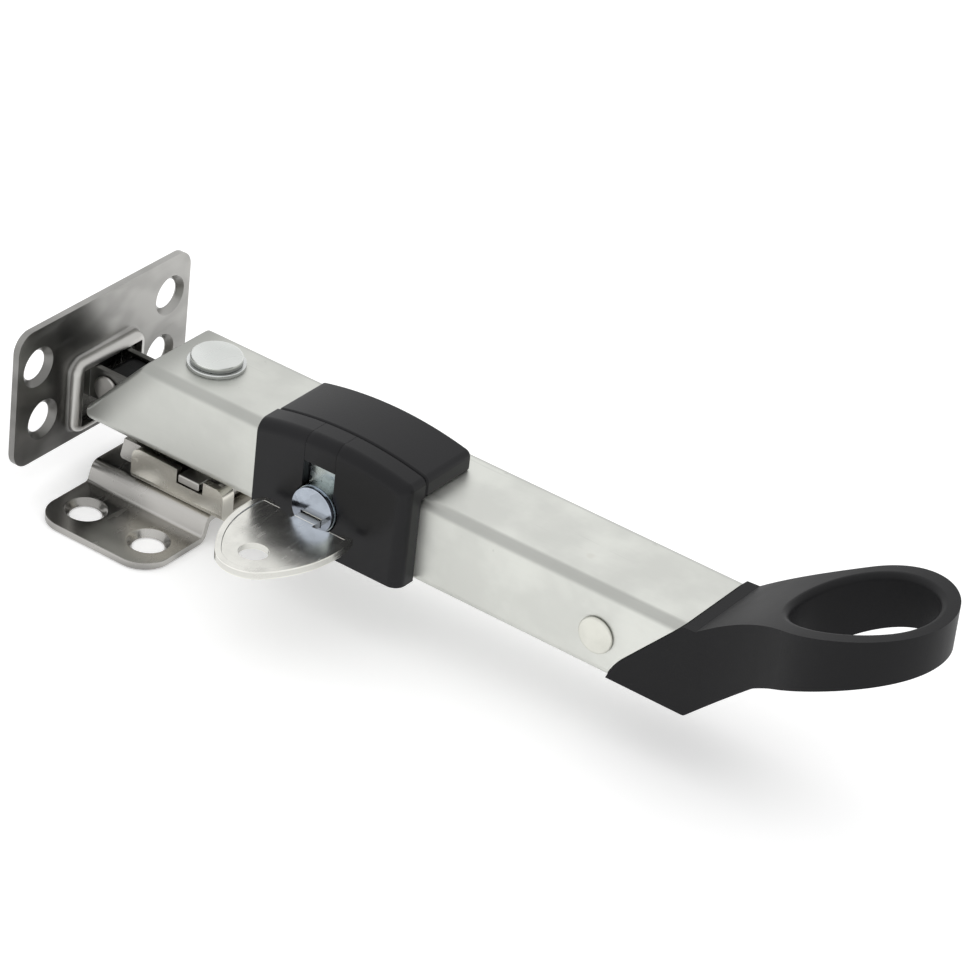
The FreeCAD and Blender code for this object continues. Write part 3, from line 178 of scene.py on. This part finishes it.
class Bench:
    """Builds a node tree around the shader that it comes with."""

    def __init__(self, tree: bpy.types.NodeTree, shader_type: str) -> None:
        """Take a tree and find its shader by type."""
        self.tree = tree
        self.shader = next(n for n in tree.nodes if n.type == shader_type)

    def node(self, kind: str, settings: dict[str, Any], values: dict[Any, Any],
             output: Any = 0) -> Wire:
        """Add a node, set it up and fill its inputs.

        Args:
            kind: the node's type.
            settings: attributes that are set before any input.
            values: numbers, colours or wires by input name or number.
            output: the output that is passed on.

        Returns:
            The chosen output.
        """
        made = self.tree.nodes.new(kind)
        for key, value in settings.items():
            setattr(made, key, value)
        for key, value in values.items():
            self.fill(made.inputs[key], value)
        return Wire(self, made.outputs[output])

    def fill(self, socket: bpy.types.NodeSocket, value: Any) -> None:
        """Set a socket to a number or a colour, or link a wire to it."""
        if isinstance(value, Wire):
            self.tree.links.new(value.socket, socket)
        elif isinstance(value, tuple) and len(value) == 3 and socket.type == "RGBA":
            socket.default_value = (*value, 1.0)
        else:
            socket.default_value = value

    def set(self, **values: Any) -> None:
        """Fill the shader's own inputs, with underscores for the spaces in their names."""
        for key, value in values.items():
            self.fill(self.shader.inputs[key.replace("_", " ")], value)

    def shown(self) -> Wire:
        """Give 1 where the camera sees a surface itself, in a reflection or through glass."""
        seen, mirrored, through = (
            self.node("ShaderNodeLightPath", {}, {}, ray)
            for ray in ("Is Camera Ray", "Is Glossy Ray", "Is Transmission Ray"))
        return seen.most(mirrored).most(through)


class Workbench(Bench):
    """Builds the node tree of one material around a Principled shader."""

    def __init__(self, name: str) -> None:
        """Start a material with its shader and its coordinates."""
        self.material = bpy.data.materials.new(name)
        self.material.use_nodes = True
        super().__init__(self.material.node_tree, "BSDF_PRINCIPLED")
        self.place = self.node("ShaderNodeTexCoord", {}, {}, "Object")

    def noise(self, grain: float, detail: float, where: Wire | None = None) -> Wire:
        """Add a noise pattern.

        Args:
            grain: waves per metre, or per unit of the coordinates where these are given.
            detail: finer layers on top.
            where: coordinates, the object's own by default.

        Returns:
            The pattern, about 0.5 on average.
        """
        return self.node("ShaderNodeTexNoise", {},
                         {"Vector": where or self.place, "Scale": grain, "Detail": detail})

    def streaks(self, grain: PerMetre, detail: float) -> Wire:
        """Add a noise pattern with its own number of waves per metre of X, Y and Z."""
        stretched = self.node("ShaderNodeMapping", {}, {"Vector": self.place, "Scale": grain})
        return self.noise(1.0, detail, stretched)

    def axis(self, name: str) -> Wire:
        """Give one of the object's own coordinates, in metres."""
        return self.node("ShaderNodeSeparateXYZ", {}, {"Vector": self.place}, name)

    def cells(self, grain: float) -> Wire:
        """Add a pattern of cells with one random grey each."""
        colour = self.node("ShaderNodeTexVoronoi", {}, {"Vector": self.place, "Scale": grain},
                           "Color")
        return self.node("ShaderNodeSeparateColor", {}, {"Color": colour}, "Red")

    def blend(self, share: Wire, first: Colour | Wire, second: Colour | Wire) -> Wire:
        """Mix two colours by a share from 0 to 1."""
        return self.node("ShaderNodeMix", {"data_type": "RGBA"},
                         {"Factor": share, 6: first, 7: second}, 2)

    def shade(self, colour: Colour, share: Wire, low: float, high: float) -> Wire:
        """Vary a colour's brightness.

        Args:
            colour: the colour at brightness 1.
            share: a pattern from 0 to 1.
            low: brightness where the pattern is 0.
            high: brightness where the pattern is 1.

        Returns:
            The varied colour.
        """
        return self.blend(share, scaled(colour, low), scaled(colour, high))

    def emboss(self, height: Wire, depth: float) -> None:
        """Bump the surface by a height pattern, depth in metres for a height of 1."""
        self.set(Normal=self.node("ShaderNodeBump", {},
                                  {"Height": height, "Distance": depth, "Strength": 1.0}))


class Finish(Protocol):
    """Anything that can make a material and has its name."""

    name: str

    def make(self) -> bpy.types.Material:
        """Build the material."""


@dataclass(frozen=True)
class FootShade:
    """Painted shade round the foot of a piece, told by the distance along one axis."""

    axis: str
    low: float
    high: float
    share: float
    colour: Colour = (0.06, 0.06, 0.055)

    def over(self, bench: Workbench, face: Wire) -> Wire:
        """Darken a face with painted shade below the low end, and leave it above the high end."""
        bright = abs(bench.axis(self.axis)).rise(self.low, self.high)
        return bench.blend((1.0 - bright) * self.share, face, self.colour)


@dataclass(frozen=True)
class GroundSteel:
    """Stainless strip with a matt ground face: fine lines, clouds, a few scratches and painted
    shade.
    """

    name: str
    colour: Colour
    roughness: float = 0.42
    cloud_grain: float = 70.0
    line_grain: PerMetre = (60.0, 2600.0, 2600.0)
    line_depth: float = 0.0012 * MM
    scratch_grain: PerMetre = (45.0, 1100.0, 700.0)
    dent_grain: float = 420.0
    stain_grain: float = 160.0
    stain_share: float = 0.25
    stain: Colour = (0.55, 0.52, 0.46)
    dark_gain: float = 0.88
    light_gain: float = 1.04
    # Painted shade: a dark copy of the colour, laid on the end by the sash, the sides, the upper
    # bends and the nose.
    shade_gain: float = 0.5
    end_shade_start: float = -20 * MM
    end_shade_end: float = 75 * MM
    end_shade: float = 0.28
    side_top: float = 32.5 * MM
    side_run: float = 0.9 * MM
    side_shade: float = 0.12
    bend_y: float = 10.2 * MM
    bend_z: float = 32.8 * MM
    bend_core: float = 0.5 * MM
    bend_reach: float = 1.6 * MM
    bend_shade: float = 0.65
    nose_x: float = -17.2 * MM
    nose_z: float = 18.1 * MM
    nose_slope: float = 48.3
    nose_core: float = 0.2 * MM
    nose_reach: float = 6.5 * MM
    nose_shade: float = 0.9

    def make(self) -> bpy.types.Material:
        """Build the material."""
        bench = Workbench(self.name)
        clouds = bench.noise(self.cloud_grain, 4).rise(0.35, 0.68)
        lines = bench.streaks(self.line_grain, 2)
        scratches = bench.streaks(self.scratch_grain, 1).rise(0.70, 0.76)
        stains = bench.noise(self.stain_grain, 2).rise(0.70, 0.80)
        dents = bench.noise(self.dent_grain, 1).rise(0.76, 0.81)
        face = bench.shade(self.colour, clouds - scratches * 0.5 - dents * 0.9,
                           self.dark_gain, self.light_gain)
        # Painted shade: the bend, nose, end and side marks blend the face towards the dark copy of
        # its colour.
        marks = (self.bend(bench), self.nose(bench), self.haze(bench), self.side(bench))
        bright = math.prod(1.0 - mark for mark in marks)
        shaded = bench.blend(1.0 - bright, face, scaled(self.colour, self.shade_gain))
        stained = bench.blend(stains * self.stain_share, shaded, self.stain)
        bench.set(Base_Color=stained, Metallic=1.0,
                  Roughness=self.roughness + (clouds - 0.5) * 0.10 + (lines - 0.5) * 0.10
                  - scratches * 0.08)
        bench.emboss(lines + scratches * 0.8 + clouds * 0.4, self.line_depth)
        return bench.material

    def bend(self, bench: Workbench) -> Wire:
        """Paint shade on the band along the upper bends."""
        across = abs(abs(bench.axis("Y")) - self.bend_y)
        off_corner = across.most(abs(bench.axis("Z") - self.bend_z))
        return (1.0 - off_corner.rise(self.bend_core, self.bend_reach)) * self.bend_shade

    def nose(self, bench: Workbench) -> Wire:
        """Paint shade on the strip along the slanted nose."""
        slope = math.radians(self.nose_slope)
        inward = ((bench.axis("X") - self.nose_x) * math.sin(slope)
                  - (bench.axis("Z") - self.nose_z) * math.cos(slope))
        return (1.0 - inward.rise(self.nose_core, self.nose_reach)) * self.nose_shade

    def haze(self, bench: Workbench) -> Wire:
        """Paint shade towards the end by the sash, so that it is a little darker than the end by
        the grip.
        """
        along = bench.axis("X").rise(self.end_shade_start, self.end_shade_end)
        return (1.0 - along) * self.end_shade

    def side(self, bench: Workbench) -> Wire:
        """Paint shade on the sides, so that they are a little darker than the top."""
        height = bench.axis("Z").rise(self.side_top, self.side_top + self.side_run)
        return (1.0 - height) * self.side_shade


@dataclass(frozen=True)
class PressedSteel:
    """Polished pressed stainless steel with tumbling marks, faint die lines and painted
    reflections.
    """

    name: str
    colour: Colour
    roughness: float = 0.24
    wave_grain: float = 140.0
    wave_depth: float = 0.006 * MM
    fine_grain: float = 3200.0
    mark_grain: PerMetre = (500.0, 90.0, 500.0)
    cloud_grain: float = 50.0
    sweep_grain: PerMetre = (45.0, 110.0, 170.0)
    dark_gain: float = 0.55
    light_gain: float = 1.12
    # Painted reflection: a fade from dark to light along a slope, taking over a share of the
    # pattern.
    reflection_fade: PerMetre | None = None
    reflection_fade_start: float = 0.0
    reflection_fade_share: float = 0.64
    # Painted highlight: the metal in front of a start along X is brightened.
    highlight_start: float | None = None
    highlight_run: float = 0.6 * MM
    highlight_gain: float = 1.3
    foot: FootShade | None = None

    def make(self) -> bpy.types.Material:
        """Build the material."""
        bench = Workbench(self.name)
        waves = bench.noise(self.wave_grain, 2)
        fine = bench.noise(self.fine_grain, 2)
        marks = bench.streaks(self.mark_grain, 2).rise(0.58, 0.72)
        clouds = bench.noise(self.cloud_grain, 1).rise(0.32, 0.68)
        sweeps = bench.streaks(self.sweep_grain, 1).rise(0.36, 0.64)
        # Painted reflections: the clouds and sweeps make the colour dark and light in patches.
        pattern = clouds * 0.4 + sweeps * 0.6
        # Painted reflection, dark to light along the fade's slope.
        if self.reflection_fade is not None:
            pattern = pattern * (1.0 - self.reflection_fade_share) + self.haze(bench) * self.reflection_fade_share
        face = bench.shade(self.colour, pattern, self.dark_gain, self.light_gain)
        # Painted highlight: brighter in front of the start along X.
        if self.highlight_start is not None:
            highlight = bench.axis("X").rise(self.highlight_start, self.highlight_start + self.highlight_run)
            face = bench.blend(highlight, face, scaled(self.colour, self.highlight_gain))
        # Painted shade round the foot.
        if self.foot is not None:
            face = self.foot.over(bench, face)
        bench.set(Base_Color=face, Metallic=1.0,
                  Roughness=self.roughness + (clouds - 0.5) * 0.10 + marks * 0.08)
        bench.emboss(waves + marks * 0.10 + fine * 0.05, self.wave_depth)
        return bench.material

    def haze(self, bench: Workbench) -> Wire:
        """Go from 0 to 1 along the painted reflection fade, whose steepness is given per metre of
        X, Y and Z.
        """
        way = sum(bench.axis(name) * steep for name, steep in zip("XYZ", self.reflection_fade))
        return (way - self.reflection_fade_start).rise(0.0, 1.0)


@dataclass(frozen=True)
class CastZinc:
    """Plated zinc casting with a blue cast and a crystal pattern."""

    name: str
    colour: Colour
    roughness: float = 0.30
    crystal_grain: float = 700.0
    cloud_grain: float = 260.0
    pit_grain: float = 1800.0
    pit_depth: float = 0.012 * MM
    dark_gain: float = 0.74
    light_gain: float = 1.16
    foot: FootShade | None = None

    def make(self) -> bpy.types.Material:
        """Build the material."""
        bench = Workbench(self.name)
        crystals = bench.cells(self.crystal_grain)
        clouds = bench.noise(self.cloud_grain, 4).rise(0.3, 0.7)
        pits = bench.noise(self.pit_grain, 3)
        face = bench.shade(self.colour, crystals * 0.5 + clouds * 0.5,
                           self.dark_gain, self.light_gain)
        # Painted shade round the foot.
        if self.foot is not None:
            face = self.foot.over(bench, face)
        bench.set(Base_Color=face, Metallic=1.0,
                  Roughness=self.roughness + (crystals - 0.5) * 0.16)
        bench.emboss(pits + crystals * 0.6, self.pit_depth)
        return bench.material


@dataclass(frozen=True)
class BrightPlate:
    """Nickel plating: a bright face with hairline scratches and a soft handled haze."""

    name: str
    colour: Colour
    roughness: float = 0.12
    haze_grain: float = 190.0
    haze_gain: float = 0.90
    hair_grain: PerMetre = (2400.0, 160.0, 2400.0)
    wave_grain: float = 220.0
    wave_depth: float = 0.0012 * MM
    # Painted shade on a band round a height, for the sides of a thin piece.
    side_z: float | None = None
    side_half: float = 0.5 * MM
    side_run: float = 0.18 * MM
    side_shade_gain: float = 0.78
    foot: FootShade | None = None

    def make(self) -> bpy.types.Material:
        """Build the material."""
        bench = Workbench(self.name)
        haze = bench.noise(self.haze_grain, 4).rise(0.4, 0.75)
        hairs = bench.streaks(self.hair_grain, 1).rise(0.62, 0.72)
        waves = bench.noise(self.wave_grain, 1)
        face = bench.shade(self.colour, haze, 1.0, self.haze_gain)
        # Painted shade on the sides within the band round that height.
        if self.side_z is not None:
            off_middle = abs(bench.axis("Z") - self.side_z)
            side = 1.0 - off_middle.rise(self.side_half, self.side_half + self.side_run)
            face = bench.blend(side, face, scaled(self.colour, self.side_shade_gain))
        # Painted shade round the foot.
        if self.foot is not None:
            face = self.foot.over(bench, face)
        bench.set(Base_Color=face, Metallic=1.0,
                  Roughness=self.roughness + haze * 0.08 + hairs * 0.05)
        bench.emboss(waves + hairs * 0.1, self.wave_depth)
        return bench.material


@dataclass(frozen=True)
class MouldedPlastic:
    """Moulded plastic with a fine spark grain and a soft sheen."""

    name: str
    colour: Colour
    roughness: float = 0.45
    sheen: float = 0.5
    spark_grain: float = 2600.0
    spark_depth: float = 0.010 * MM
    flow_grain: float = 45.0
    rub_grain: float = 420.0
    dark_gain: float = 0.88
    light_gain: float = 1.15

    def make(self) -> bpy.types.Material:
        """Build the material."""
        bench = Workbench(self.name)
        spark = bench.noise(self.spark_grain, 2)
        flow = bench.noise(self.flow_grain, 3).rise(0.35, 0.7)
        rub = bench.noise(self.rub_grain, 3).rise(0.66, 0.78)
        face = bench.shade(self.colour, flow, self.dark_gain, self.light_gain)
        bench.set(Base_Color=face, Metallic=0.0, Specular_IOR_Level=self.sheen,
                  Roughness=self.roughness + (flow - 0.5) * 0.08 - rub * 0.05)
        bench.emboss(spark, self.spark_depth)
        return bench.material


class Coat(Enum):
    """The finishes of the stay's pieces."""

    TUBE = GroundSteel("tube_steel", (0.725, 0.735, 0.695))
    BRACKET = PressedSteel("bracket_steel", (0.46, 0.45, 0.43))
    CARRIAGE = PressedSteel("carriage_steel", (0.66, 0.64, 0.58), roughness=0.20, dark_gain=0.50)
    # Painted reflections run deep on the plate, with a painted reflection fade and a painted
    # highlight on the collar.
    PLATE = PressedSteel("plate_steel", (0.40, 0.395, 0.38), roughness=0.33, dark_gain=0.30,
                         reflection_fade=(0.0, 11.0, 26.0), reflection_fade_start=0.18, highlight_start=-22.1 * MM)
    # Painted shade: the clevis is darker steel, standing for the shade that it sits in.
    SHADED_CLEVIS = PressedSteel("clevis_steel_shaded", (0.20, 0.20, 0.19), roughness=0.28)
    PAWL = PressedSteel("pawl_steel", (0.46, 0.45, 0.43), roughness=0.30, dark_gain=0.7)
    PIN = PressedSteel("pin_steel", (0.70, 0.69, 0.66), roughness=0.27, dark_gain=0.9)
    # Painted shade round the foot of the pin's head.
    PIN_HEAD = PressedSteel("pin_head_steel", (0.70, 0.72, 0.70), roughness=0.27, dark_gain=0.9,
                            foot=FootShade("Z", 34.9 * MM, 35.5 * MM, 0.70))
    # Painted shade round the foot of the washer.
    WASHER = PressedSteel("washer_steel", (0.66, 0.675, 0.67), roughness=0.27, dark_gain=0.9,
                          foot=FootShade("Z", 34.0 * MM, 34.35 * MM, 0.45))
    SPRING = PressedSteel("spring_steel", (0.34, 0.34, 0.35))
    ZINC = CastZinc("cast_zinc", (0.50, 0.55, 0.55))
    DARK_LINK = CastZinc("link_black", (0.020, 0.021, 0.022), roughness=0.42)
    # Painted shade on the lower part of the plug.
    PLUG = CastZinc("plug_zinc", (0.56, 0.62, 0.74), roughness=0.20, crystal_grain=300.0,
                    foot=FootShade("Z", 23.4 * MM, 25.4 * MM, 0.60))
    # Painted shade on the key's sides.
    KEY = BrightPlate("key_nickel", (0.80, 0.795, 0.75), roughness=0.20, side_z=22.5 * MM)
    # Painted shade round the foot of the rivet's head.
    RIVET = BrightPlate("rivet_nickel", (0.70, 0.70, 0.64), roughness=0.30,
                        foot=FootShade("Y", 11.15 * MM, 11.45 * MM, 0.75))
    BRASS = PressedSteel("bushing_brass", (0.60, 0.46, 0.20))
    NYLON = MouldedPlastic("shoe_nylon", (0.72, 0.71, 0.66))
    HOUSING = MouldedPlastic("housing_black", (0.0065, 0.0065, 0.0078), roughness=0.34, sheen=0.24)
    GRIP = MouldedPlastic("grip_black", (0.014, 0.014, 0.015), roughness=0.50, sheen=0.13,
                          spark_depth=0.016 * MM)


class PaintStore:
    """Keeps one material for each coat."""

    def __init__(self) -> None:
        """Start empty."""
        self.made: dict[Coat, bpy.types.Material] = {}

    def __getitem__(self, coat: Coat) -> bpy.types.Material:
        """Give the coat's material, made on first use."""
        if coat not in self.made:
            finish: Finish = coat.value
            self.made[coat] = finish.make()
        return self.made[coat]


@dataclass
class Assembly:
    """A group of CAD nodes that share a place in the stay."""

    frame: dict[str, Any]
    paint: PaintStore

    def coat(self, node: str, coat: Coat) -> None:
        """Give a CAD node its material and leave its shape as it is.

        Args:
            node: the node's name.
            coat: its finish.
        """
        for slot in self.frame["nodes"][node].material_slots:
            slot.material = self.paint[coat]
        log.info("coated %s in %s", node, coat.value.name)

    def dress(self, node: str, coat: Coat, edge: float = 0.25 * MM, segments: int = 2
              ) -> bpy.types.Object:
        """Put a merged copy with broken edges in the place of a CAD node.

        Args:
            node: the node's name.
            coat: its finish.
            edge: width of the broken edges.
            segments: faces across a broken edge.

        Returns:
            The piece that stands for the node.
        """
        return self.finish(self.merged(node), node, coat, edge, segments)

    def merged(self, node: str) -> bpy.types.Object:
        """Copy a CAD node as one joined mesh with whole flat faces.

        Args:
            node: the node's name.

        Returns:
            The copy, still without its finish.
        """
        shape = bmesh.new()
        shape.from_mesh(self.frame["nodes"][node].data)
        bmesh.ops.remove_doubles(shape, verts=shape.verts, dist=JOIN_WITHIN)
        bmesh.ops.dissolve_degenerate(shape, edges=shape.edges, dist=JOIN_WITHIN)
        bmesh.ops.dissolve_limit(shape, verts=shape.verts, edges=shape.edges,
                                 angle_limit=FLAT_WITHIN)
        return mesh_object(f"{node}_finished", shape)

    def finish(self, piece: bpy.types.Object, node: str, coat: Coat, edge: float,
               segments: int) -> bpy.types.Object:
        """Give a piece its material and broken edges, and put it in the place of its node.

        Args:
            piece: the piece.
            node: the CAD node that it stands for.
            coat: its finish.
            edge: width of the broken edges.
            segments: faces across a broken edge.

        Returns:
            The same piece.
        """
        piece.data.materials.clear()
        piece.data.materials.append(self.paint[coat])
        for face in piece.data.polygons:
            face.material_index = 0
            face.use_smooth = True
        soften(piece, edge, segments)
        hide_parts(node)
        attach(piece, self.frame["nodes"][node]["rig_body"])
        log.info("dressed %s in %s", node, coat.value.name)
        return piece


def cut_away(piece: bpy.types.Object, cutter: bpy.types.Object) -> None:
    """Take a cutter's space out of a piece, and throw the cutter away.

    Args:
        piece: the piece, with no other modifier yet.
        cutter: a closed object.
    """
    cut = piece.modifiers.new("cut", "BOOLEAN")
    cut.operation = "DIFFERENCE"
    cut.solver = "EXACT"
    cut.object = cutter
    graph = bpy.context.evaluated_depsgraph_get()
    whole = piece.data
    piece.data = bpy.data.meshes.new_from_object(piece.evaluated_get(graph))
    piece.modifiers.clear()
    bpy.data.meshes.remove(whole)
    tool = cutter.data
    bpy.data.objects.remove(cutter)
    bpy.data.meshes.remove(tool)


def soften(shown: bpy.types.Object, edge: float, segments: int) -> None:
    """Round an object's sharp edges with a live bevel.

    Args:
        shown: the object.
        edge: width of the rounding.
        segments: faces across the rounding.
    """
    bevel = shown.modifiers.new("edges", "BEVEL")
    bevel.width = edge
    bevel.segments = segments
    bevel.limit_method = "ANGLE"
    bevel.angle_limit = SHARP_FROM
    bevel.use_clamp_overlap = True
    bevel.harden_normals = False
    normals = shown.modifiers.new("normals", "WEIGHTED_NORMAL")
    normals.keep_sharp = True


@dataclass
class FrameSide(Assembly):
    """Bracket, swivel, carriage, guide and brake: all that stays with the window frame."""

    def build(self) -> None:
        """Dress every node of the frame side."""
        self.dress("frame_bracket", Coat.BRACKET, edge=0.3 * MM)
        self.dress("carriage", Coat.CARRIAGE, edge=0.35 * MM, segments=3)
        for node in ("swivel_rivet", "swivel_washer", "guide_pin", "pawl_pin"):
            self.coat(node, Coat.PIN)
        self.coat("brake_spring", Coat.SPRING)
        self.dress("guide_block", Coat.PAWL, edge=0.4 * MM)
        self.dress("brake_pawl", Coat.PAWL, edge=0.3 * MM)
        self.dress("slide_shoe", Coat.NYLON, edge=0.3 * MM)


@dataclass
class SlidingStay(Assembly):
    """Tube, top pin, lock housing and grip: all that slides."""

    def build(self) -> None:
        """Dress every node of the sliding stay."""
        self.dress("tube", Coat.TUBE, edge=0.15 * MM)
        self.dress("top_pin", Coat.PIN_HEAD, edge=0.2 * MM)
        self.dress("pin_washer", Coat.WASHER, edge=0.15 * MM)
        self.dress("lock_housing", Coat.HOUSING, edge=0.3 * MM, segments=3)
        self.dress("filler_strip", Coat.HOUSING, edge=0.45 * MM, segments=3)
        self.dress("housing_cap", Coat.HOUSING, edge=0.6 * MM, segments=4)
        self.coat("cap_tray", Coat.HOUSING)
        self.coat("cheek_rivet_left", Coat.PIN)
        self.coat("cheek_rivet_right", Coat.PIN)
        self.dress("lock_barrel", Coat.ZINC, edge=0.2 * MM)
        self.dress("ring_grip", Coat.GRIP, edge=1.3 * MM, segments=4)
        self.dress("grip_rivet", Coat.RIVET, edge=0.15 * MM)


@dataclass
class SashSide(Assembly):
    """Link, clevis and plate: all that turns with the sash."""

    def build(self) -> None:
        """Dress every node of the sash side."""
        self.dress("swivel_link", Coat.DARK_LINK, edge=0.4 * MM)
        self.coat("link_bushing", Coat.BRASS)
        self.dress("tilt_rivet", Coat.PAWL)
        self.dress("sash_clevis", Coat.SHADED_CLEVIS, edge=0.2 * MM)
        self.dress("sash_plate", Coat.PLATE, edge=0.3 * MM, segments=4)


@dataclass
class KeyLock(Assembly):
    """Plug, cam and key."""

    axis_x: float = 45.5 * MM
    key_height: float = 22.5 * MM
    blade_half: float = 2.5 * MM
    scoop_radius: float = 17.1 * MM
    scoop_floor: float = -20.7 * MM
    scoop_height: float = 8.0 * MM
    scoop_facets: int = 180
    flat_start: float = -19.75 * MM
    flat_end: float = -17.2 * MM
    flat_half: float = 12.0 * MM
    flat_depth: float = 1.0 * MM
    web_half: float = 0.7 * MM

    def build(self) -> None:
        """Dress every node of the lock."""
        self.dress("lock_plug", Coat.PLUG, edge=0.2 * MM)
        self.dress("lock_cam", Coat.ZINC)
        self.dress("cam_screw", Coat.PIN)
        key = self.merged("key")
        for side in (-1, 1):
            cut_away(key, self.scoop(side))
            cut_away(key, self.flat(side))
        self.finish(key, "key", Coat.KEY, edge=0.22 * MM, segments=3)

    def scoop(self, side: int) -> bpy.types.Object:
        """Make the cutter that hollows the bow's back edge beside the blade.

        Args:
            side: -1 or 1, the side of the blade along X.

        Returns:
            The cutter, a part of a round bar.
        """
        bar = bmesh.new()
        bmesh.ops.create_cone(bar, cap_ends=True, segments=self.scoop_facets,
                              radius1=self.scoop_radius, radius2=self.scoop_radius,
                              depth=self.scoop_height)
        bmesh.ops.translate(bar, verts=bar.verts, vec=(
            self.axis_x, self.scoop_floor + self.scoop_radius, self.key_height))
        bmesh.ops.bisect_plane(
            bar, geom=[*bar.verts, *bar.edges, *bar.faces], clear_inner=True,
            plane_co=(self.axis_x + side * self.blade_half, 0.0, 0.0), plane_no=(side, 0.0, 0.0))
        bmesh.ops.holes_fill(bar, edges=[e for e in bar.edges if e.is_boundary])
        return mesh_object("scoop_cutter", bar)

    def flat(self, side: int) -> bpy.types.Object:
        """Make the cutter that takes the raised rim off the bow's back edge.

        Args:
            side: -1 for the under face, 1 for the upper one.

        Returns:
            The cutter, a block.
        """
        block = bmesh.new()
        bmesh.ops.create_cube(block, size=1.0)
        length = self.flat_end - self.flat_start
        bmesh.ops.scale(block, verts=block.verts,
                        vec=(2 * self.flat_half, length, self.flat_depth))
        bmesh.ops.translate(block, verts=block.verts, vec=(
            self.axis_x, self.flat_start + length / 2,
            self.key_height + side * (self.web_half + self.flat_depth / 2)))
        return mesh_object("flat_cutter", block)


@dataclass(frozen=True)
class Lamp:
    """A square soft lamp that is aimed at the object."""

    name: str
    place: tuple[float, float, float]
    size: float
    power: float


@dataclass
class Studio:
    """Pale floor, soft lamps, white world and the camera of the photograph.

    The lens and its sensor are plain millimetres, without MM, as Blender takes them.
    """

    target: Vector = field(default_factory=lambda: Vector((71.5, 0.0, 24.5)) * MM)
    azimuth: float = 33.04
    elevation: float = 32.47
    roll: float = 6.60
    distance: float = 0.9094
    lens: float = 172.69
    sensor_width: float = 36.0
    nearest: float = 10 * MM
    shift_x: float = 0.01441
    shift_y: float = 0.04324
    floor_size: float = 6.0
    floor_drop: float = 0.2 * MM
    floor_grain: float = 3.0
    floor_lift: float = 0.30
    ambient: float = 0.80
    lamps: tuple[Lamp, ...] = (Lamp("lamp_top", (-0.10, 0.15, 1.30), 2.0, 5.0),
                               Lamp("lamp_left", (-1.2, -0.4, 0.7), 1.2, 1.2))

    def build(self) -> None:
        """Set up everything round the object."""
        self.place_camera()
        self.lay_floor()
        self.hang_lamps()
        self.light_world()
        bpy.context.scene.view_settings.view_transform = "Standard"

    def place_camera(self) -> None:
        """Stand the camera where the photograph was taken."""
        turn, lift, roll = (math.radians(a) for a in (self.azimuth, self.elevation, self.roll))
        back = Vector((math.sin(turn) * math.cos(lift), -math.cos(turn) * math.cos(lift),
                       math.sin(lift)))
        level = Vector((math.cos(turn), math.sin(turn), 0.0))
        upright = back.cross(level)
        right = level * math.cos(roll) + upright * math.sin(roll)
        up = upright * math.cos(roll) - level * math.sin(roll)
        lens = bpy.data.cameras.new("view_camera")
        lens.sensor_fit = "HORIZONTAL"
        lens.sensor_width = self.sensor_width
        lens.lens = self.lens
        lens.shift_x = self.shift_x
        lens.shift_y = self.shift_y
        lens.clip_start = self.nearest
        camera = bpy.data.objects.new("view_camera", lens)
        place = Matrix.Translation(self.target + back * self.distance)
        camera.matrix_world = place @ Matrix((right, up, back)).transposed().to_4x4()
        bpy.context.scene.collection.objects.link(camera)
        bpy.context.scene.camera = camera

    def lay_floor(self) -> None:
        """Lay a large pale floor under the bracket's screwed face."""
        shape = bmesh.new()
        bmesh.ops.create_grid(shape, x_segments=1, y_segments=1, size=self.floor_size / 2)
        bmesh.ops.translate(shape, verts=shape.verts, vec=(0.0, 0.0, -self.floor_drop))
        floor = mesh_object("studio_floor", shape)
        bench = Workbench("floor_paper")
        bench.set(Base_Color=bench.shade(PAPER, bench.noise(self.floor_grain, 2), 0.99, 1.0),
                  Roughness=0.9, Specular_IOR_Level=0.0, Emission_Strength=self.floor_lift,
                  Emission_Color=bench.blend(bench.shown(), BLACK, WHITE))
        floor.data.materials.append(bench.material)
        floor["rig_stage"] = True

    def hang_lamps(self) -> None:
        """Hang a large lamp overhead and a weaker one at the left, neither seen in reflections."""
        for lamp in self.lamps:
            light = bpy.data.lights.new(lamp.name, "AREA")
            light.shape = "SQUARE"
            light.size = lamp.size
            light.energy = lamp.power
            hung = bpy.data.objects.new(lamp.name, light)
            place = Vector(lamp.place)
            aim = (self.target - place).to_track_quat("-Z", "Y")
            hung.matrix_world = Matrix.Translation(place) @ aim.to_matrix().to_4x4()
            hung.visible_glossy = False
            bpy.context.scene.collection.objects.link(hung)

    def light_world(self) -> None:
        """Show white to the camera and in reflections, and light the object less strongly."""
        world = bpy.data.worlds.new("studio_world")
        world.use_nodes = True
        bpy.context.scene.world = world
        bench = Bench(world.node_tree, "BACKGROUND")
        bench.set(Color=WHITE, Strength=bench.shown() * (1.0 - self.ambient) + self.ambient)


def mesh_object(name: str, shape: bmesh.types.BMesh) -> bpy.types.Object:
    """Turn a bmesh into an object of the scene.

    Args:
        name: the object's name.
        shape: its geometry, freed here.

    Returns:
        The linked object, at the origin.
    """
    mesh = bpy.data.meshes.new(name)
    shape.to_mesh(mesh)
    shape.free()
    made = bpy.data.objects.new(name, mesh)
    bpy.context.scene.collection.objects.link(made)
    return made


def write_sizes(frame_box: Iterable[Any], seen_box: Iterable[Any]) -> None:
    plain = [[list(map(float, corner)) for corner in box] for box in (frame_box, seen_box)]
    {"cad": plain[0], "visual": plain[1]}


def main() -> None:
    """Load the frame, dress its pieces and build the studio."""
    logging.basicConfig(level=logging.INFO, format="%(name)s: %(message)s")
    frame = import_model()
    frame_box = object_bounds()
    paint = PaintStore()
    for part in (FrameSide, SlidingStay, SashSide, KeyLock):
        part(frame, paint).build()
    Studio().build()
    write_sizes(frame_box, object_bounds())


if __name__ == "__main__":
    main()
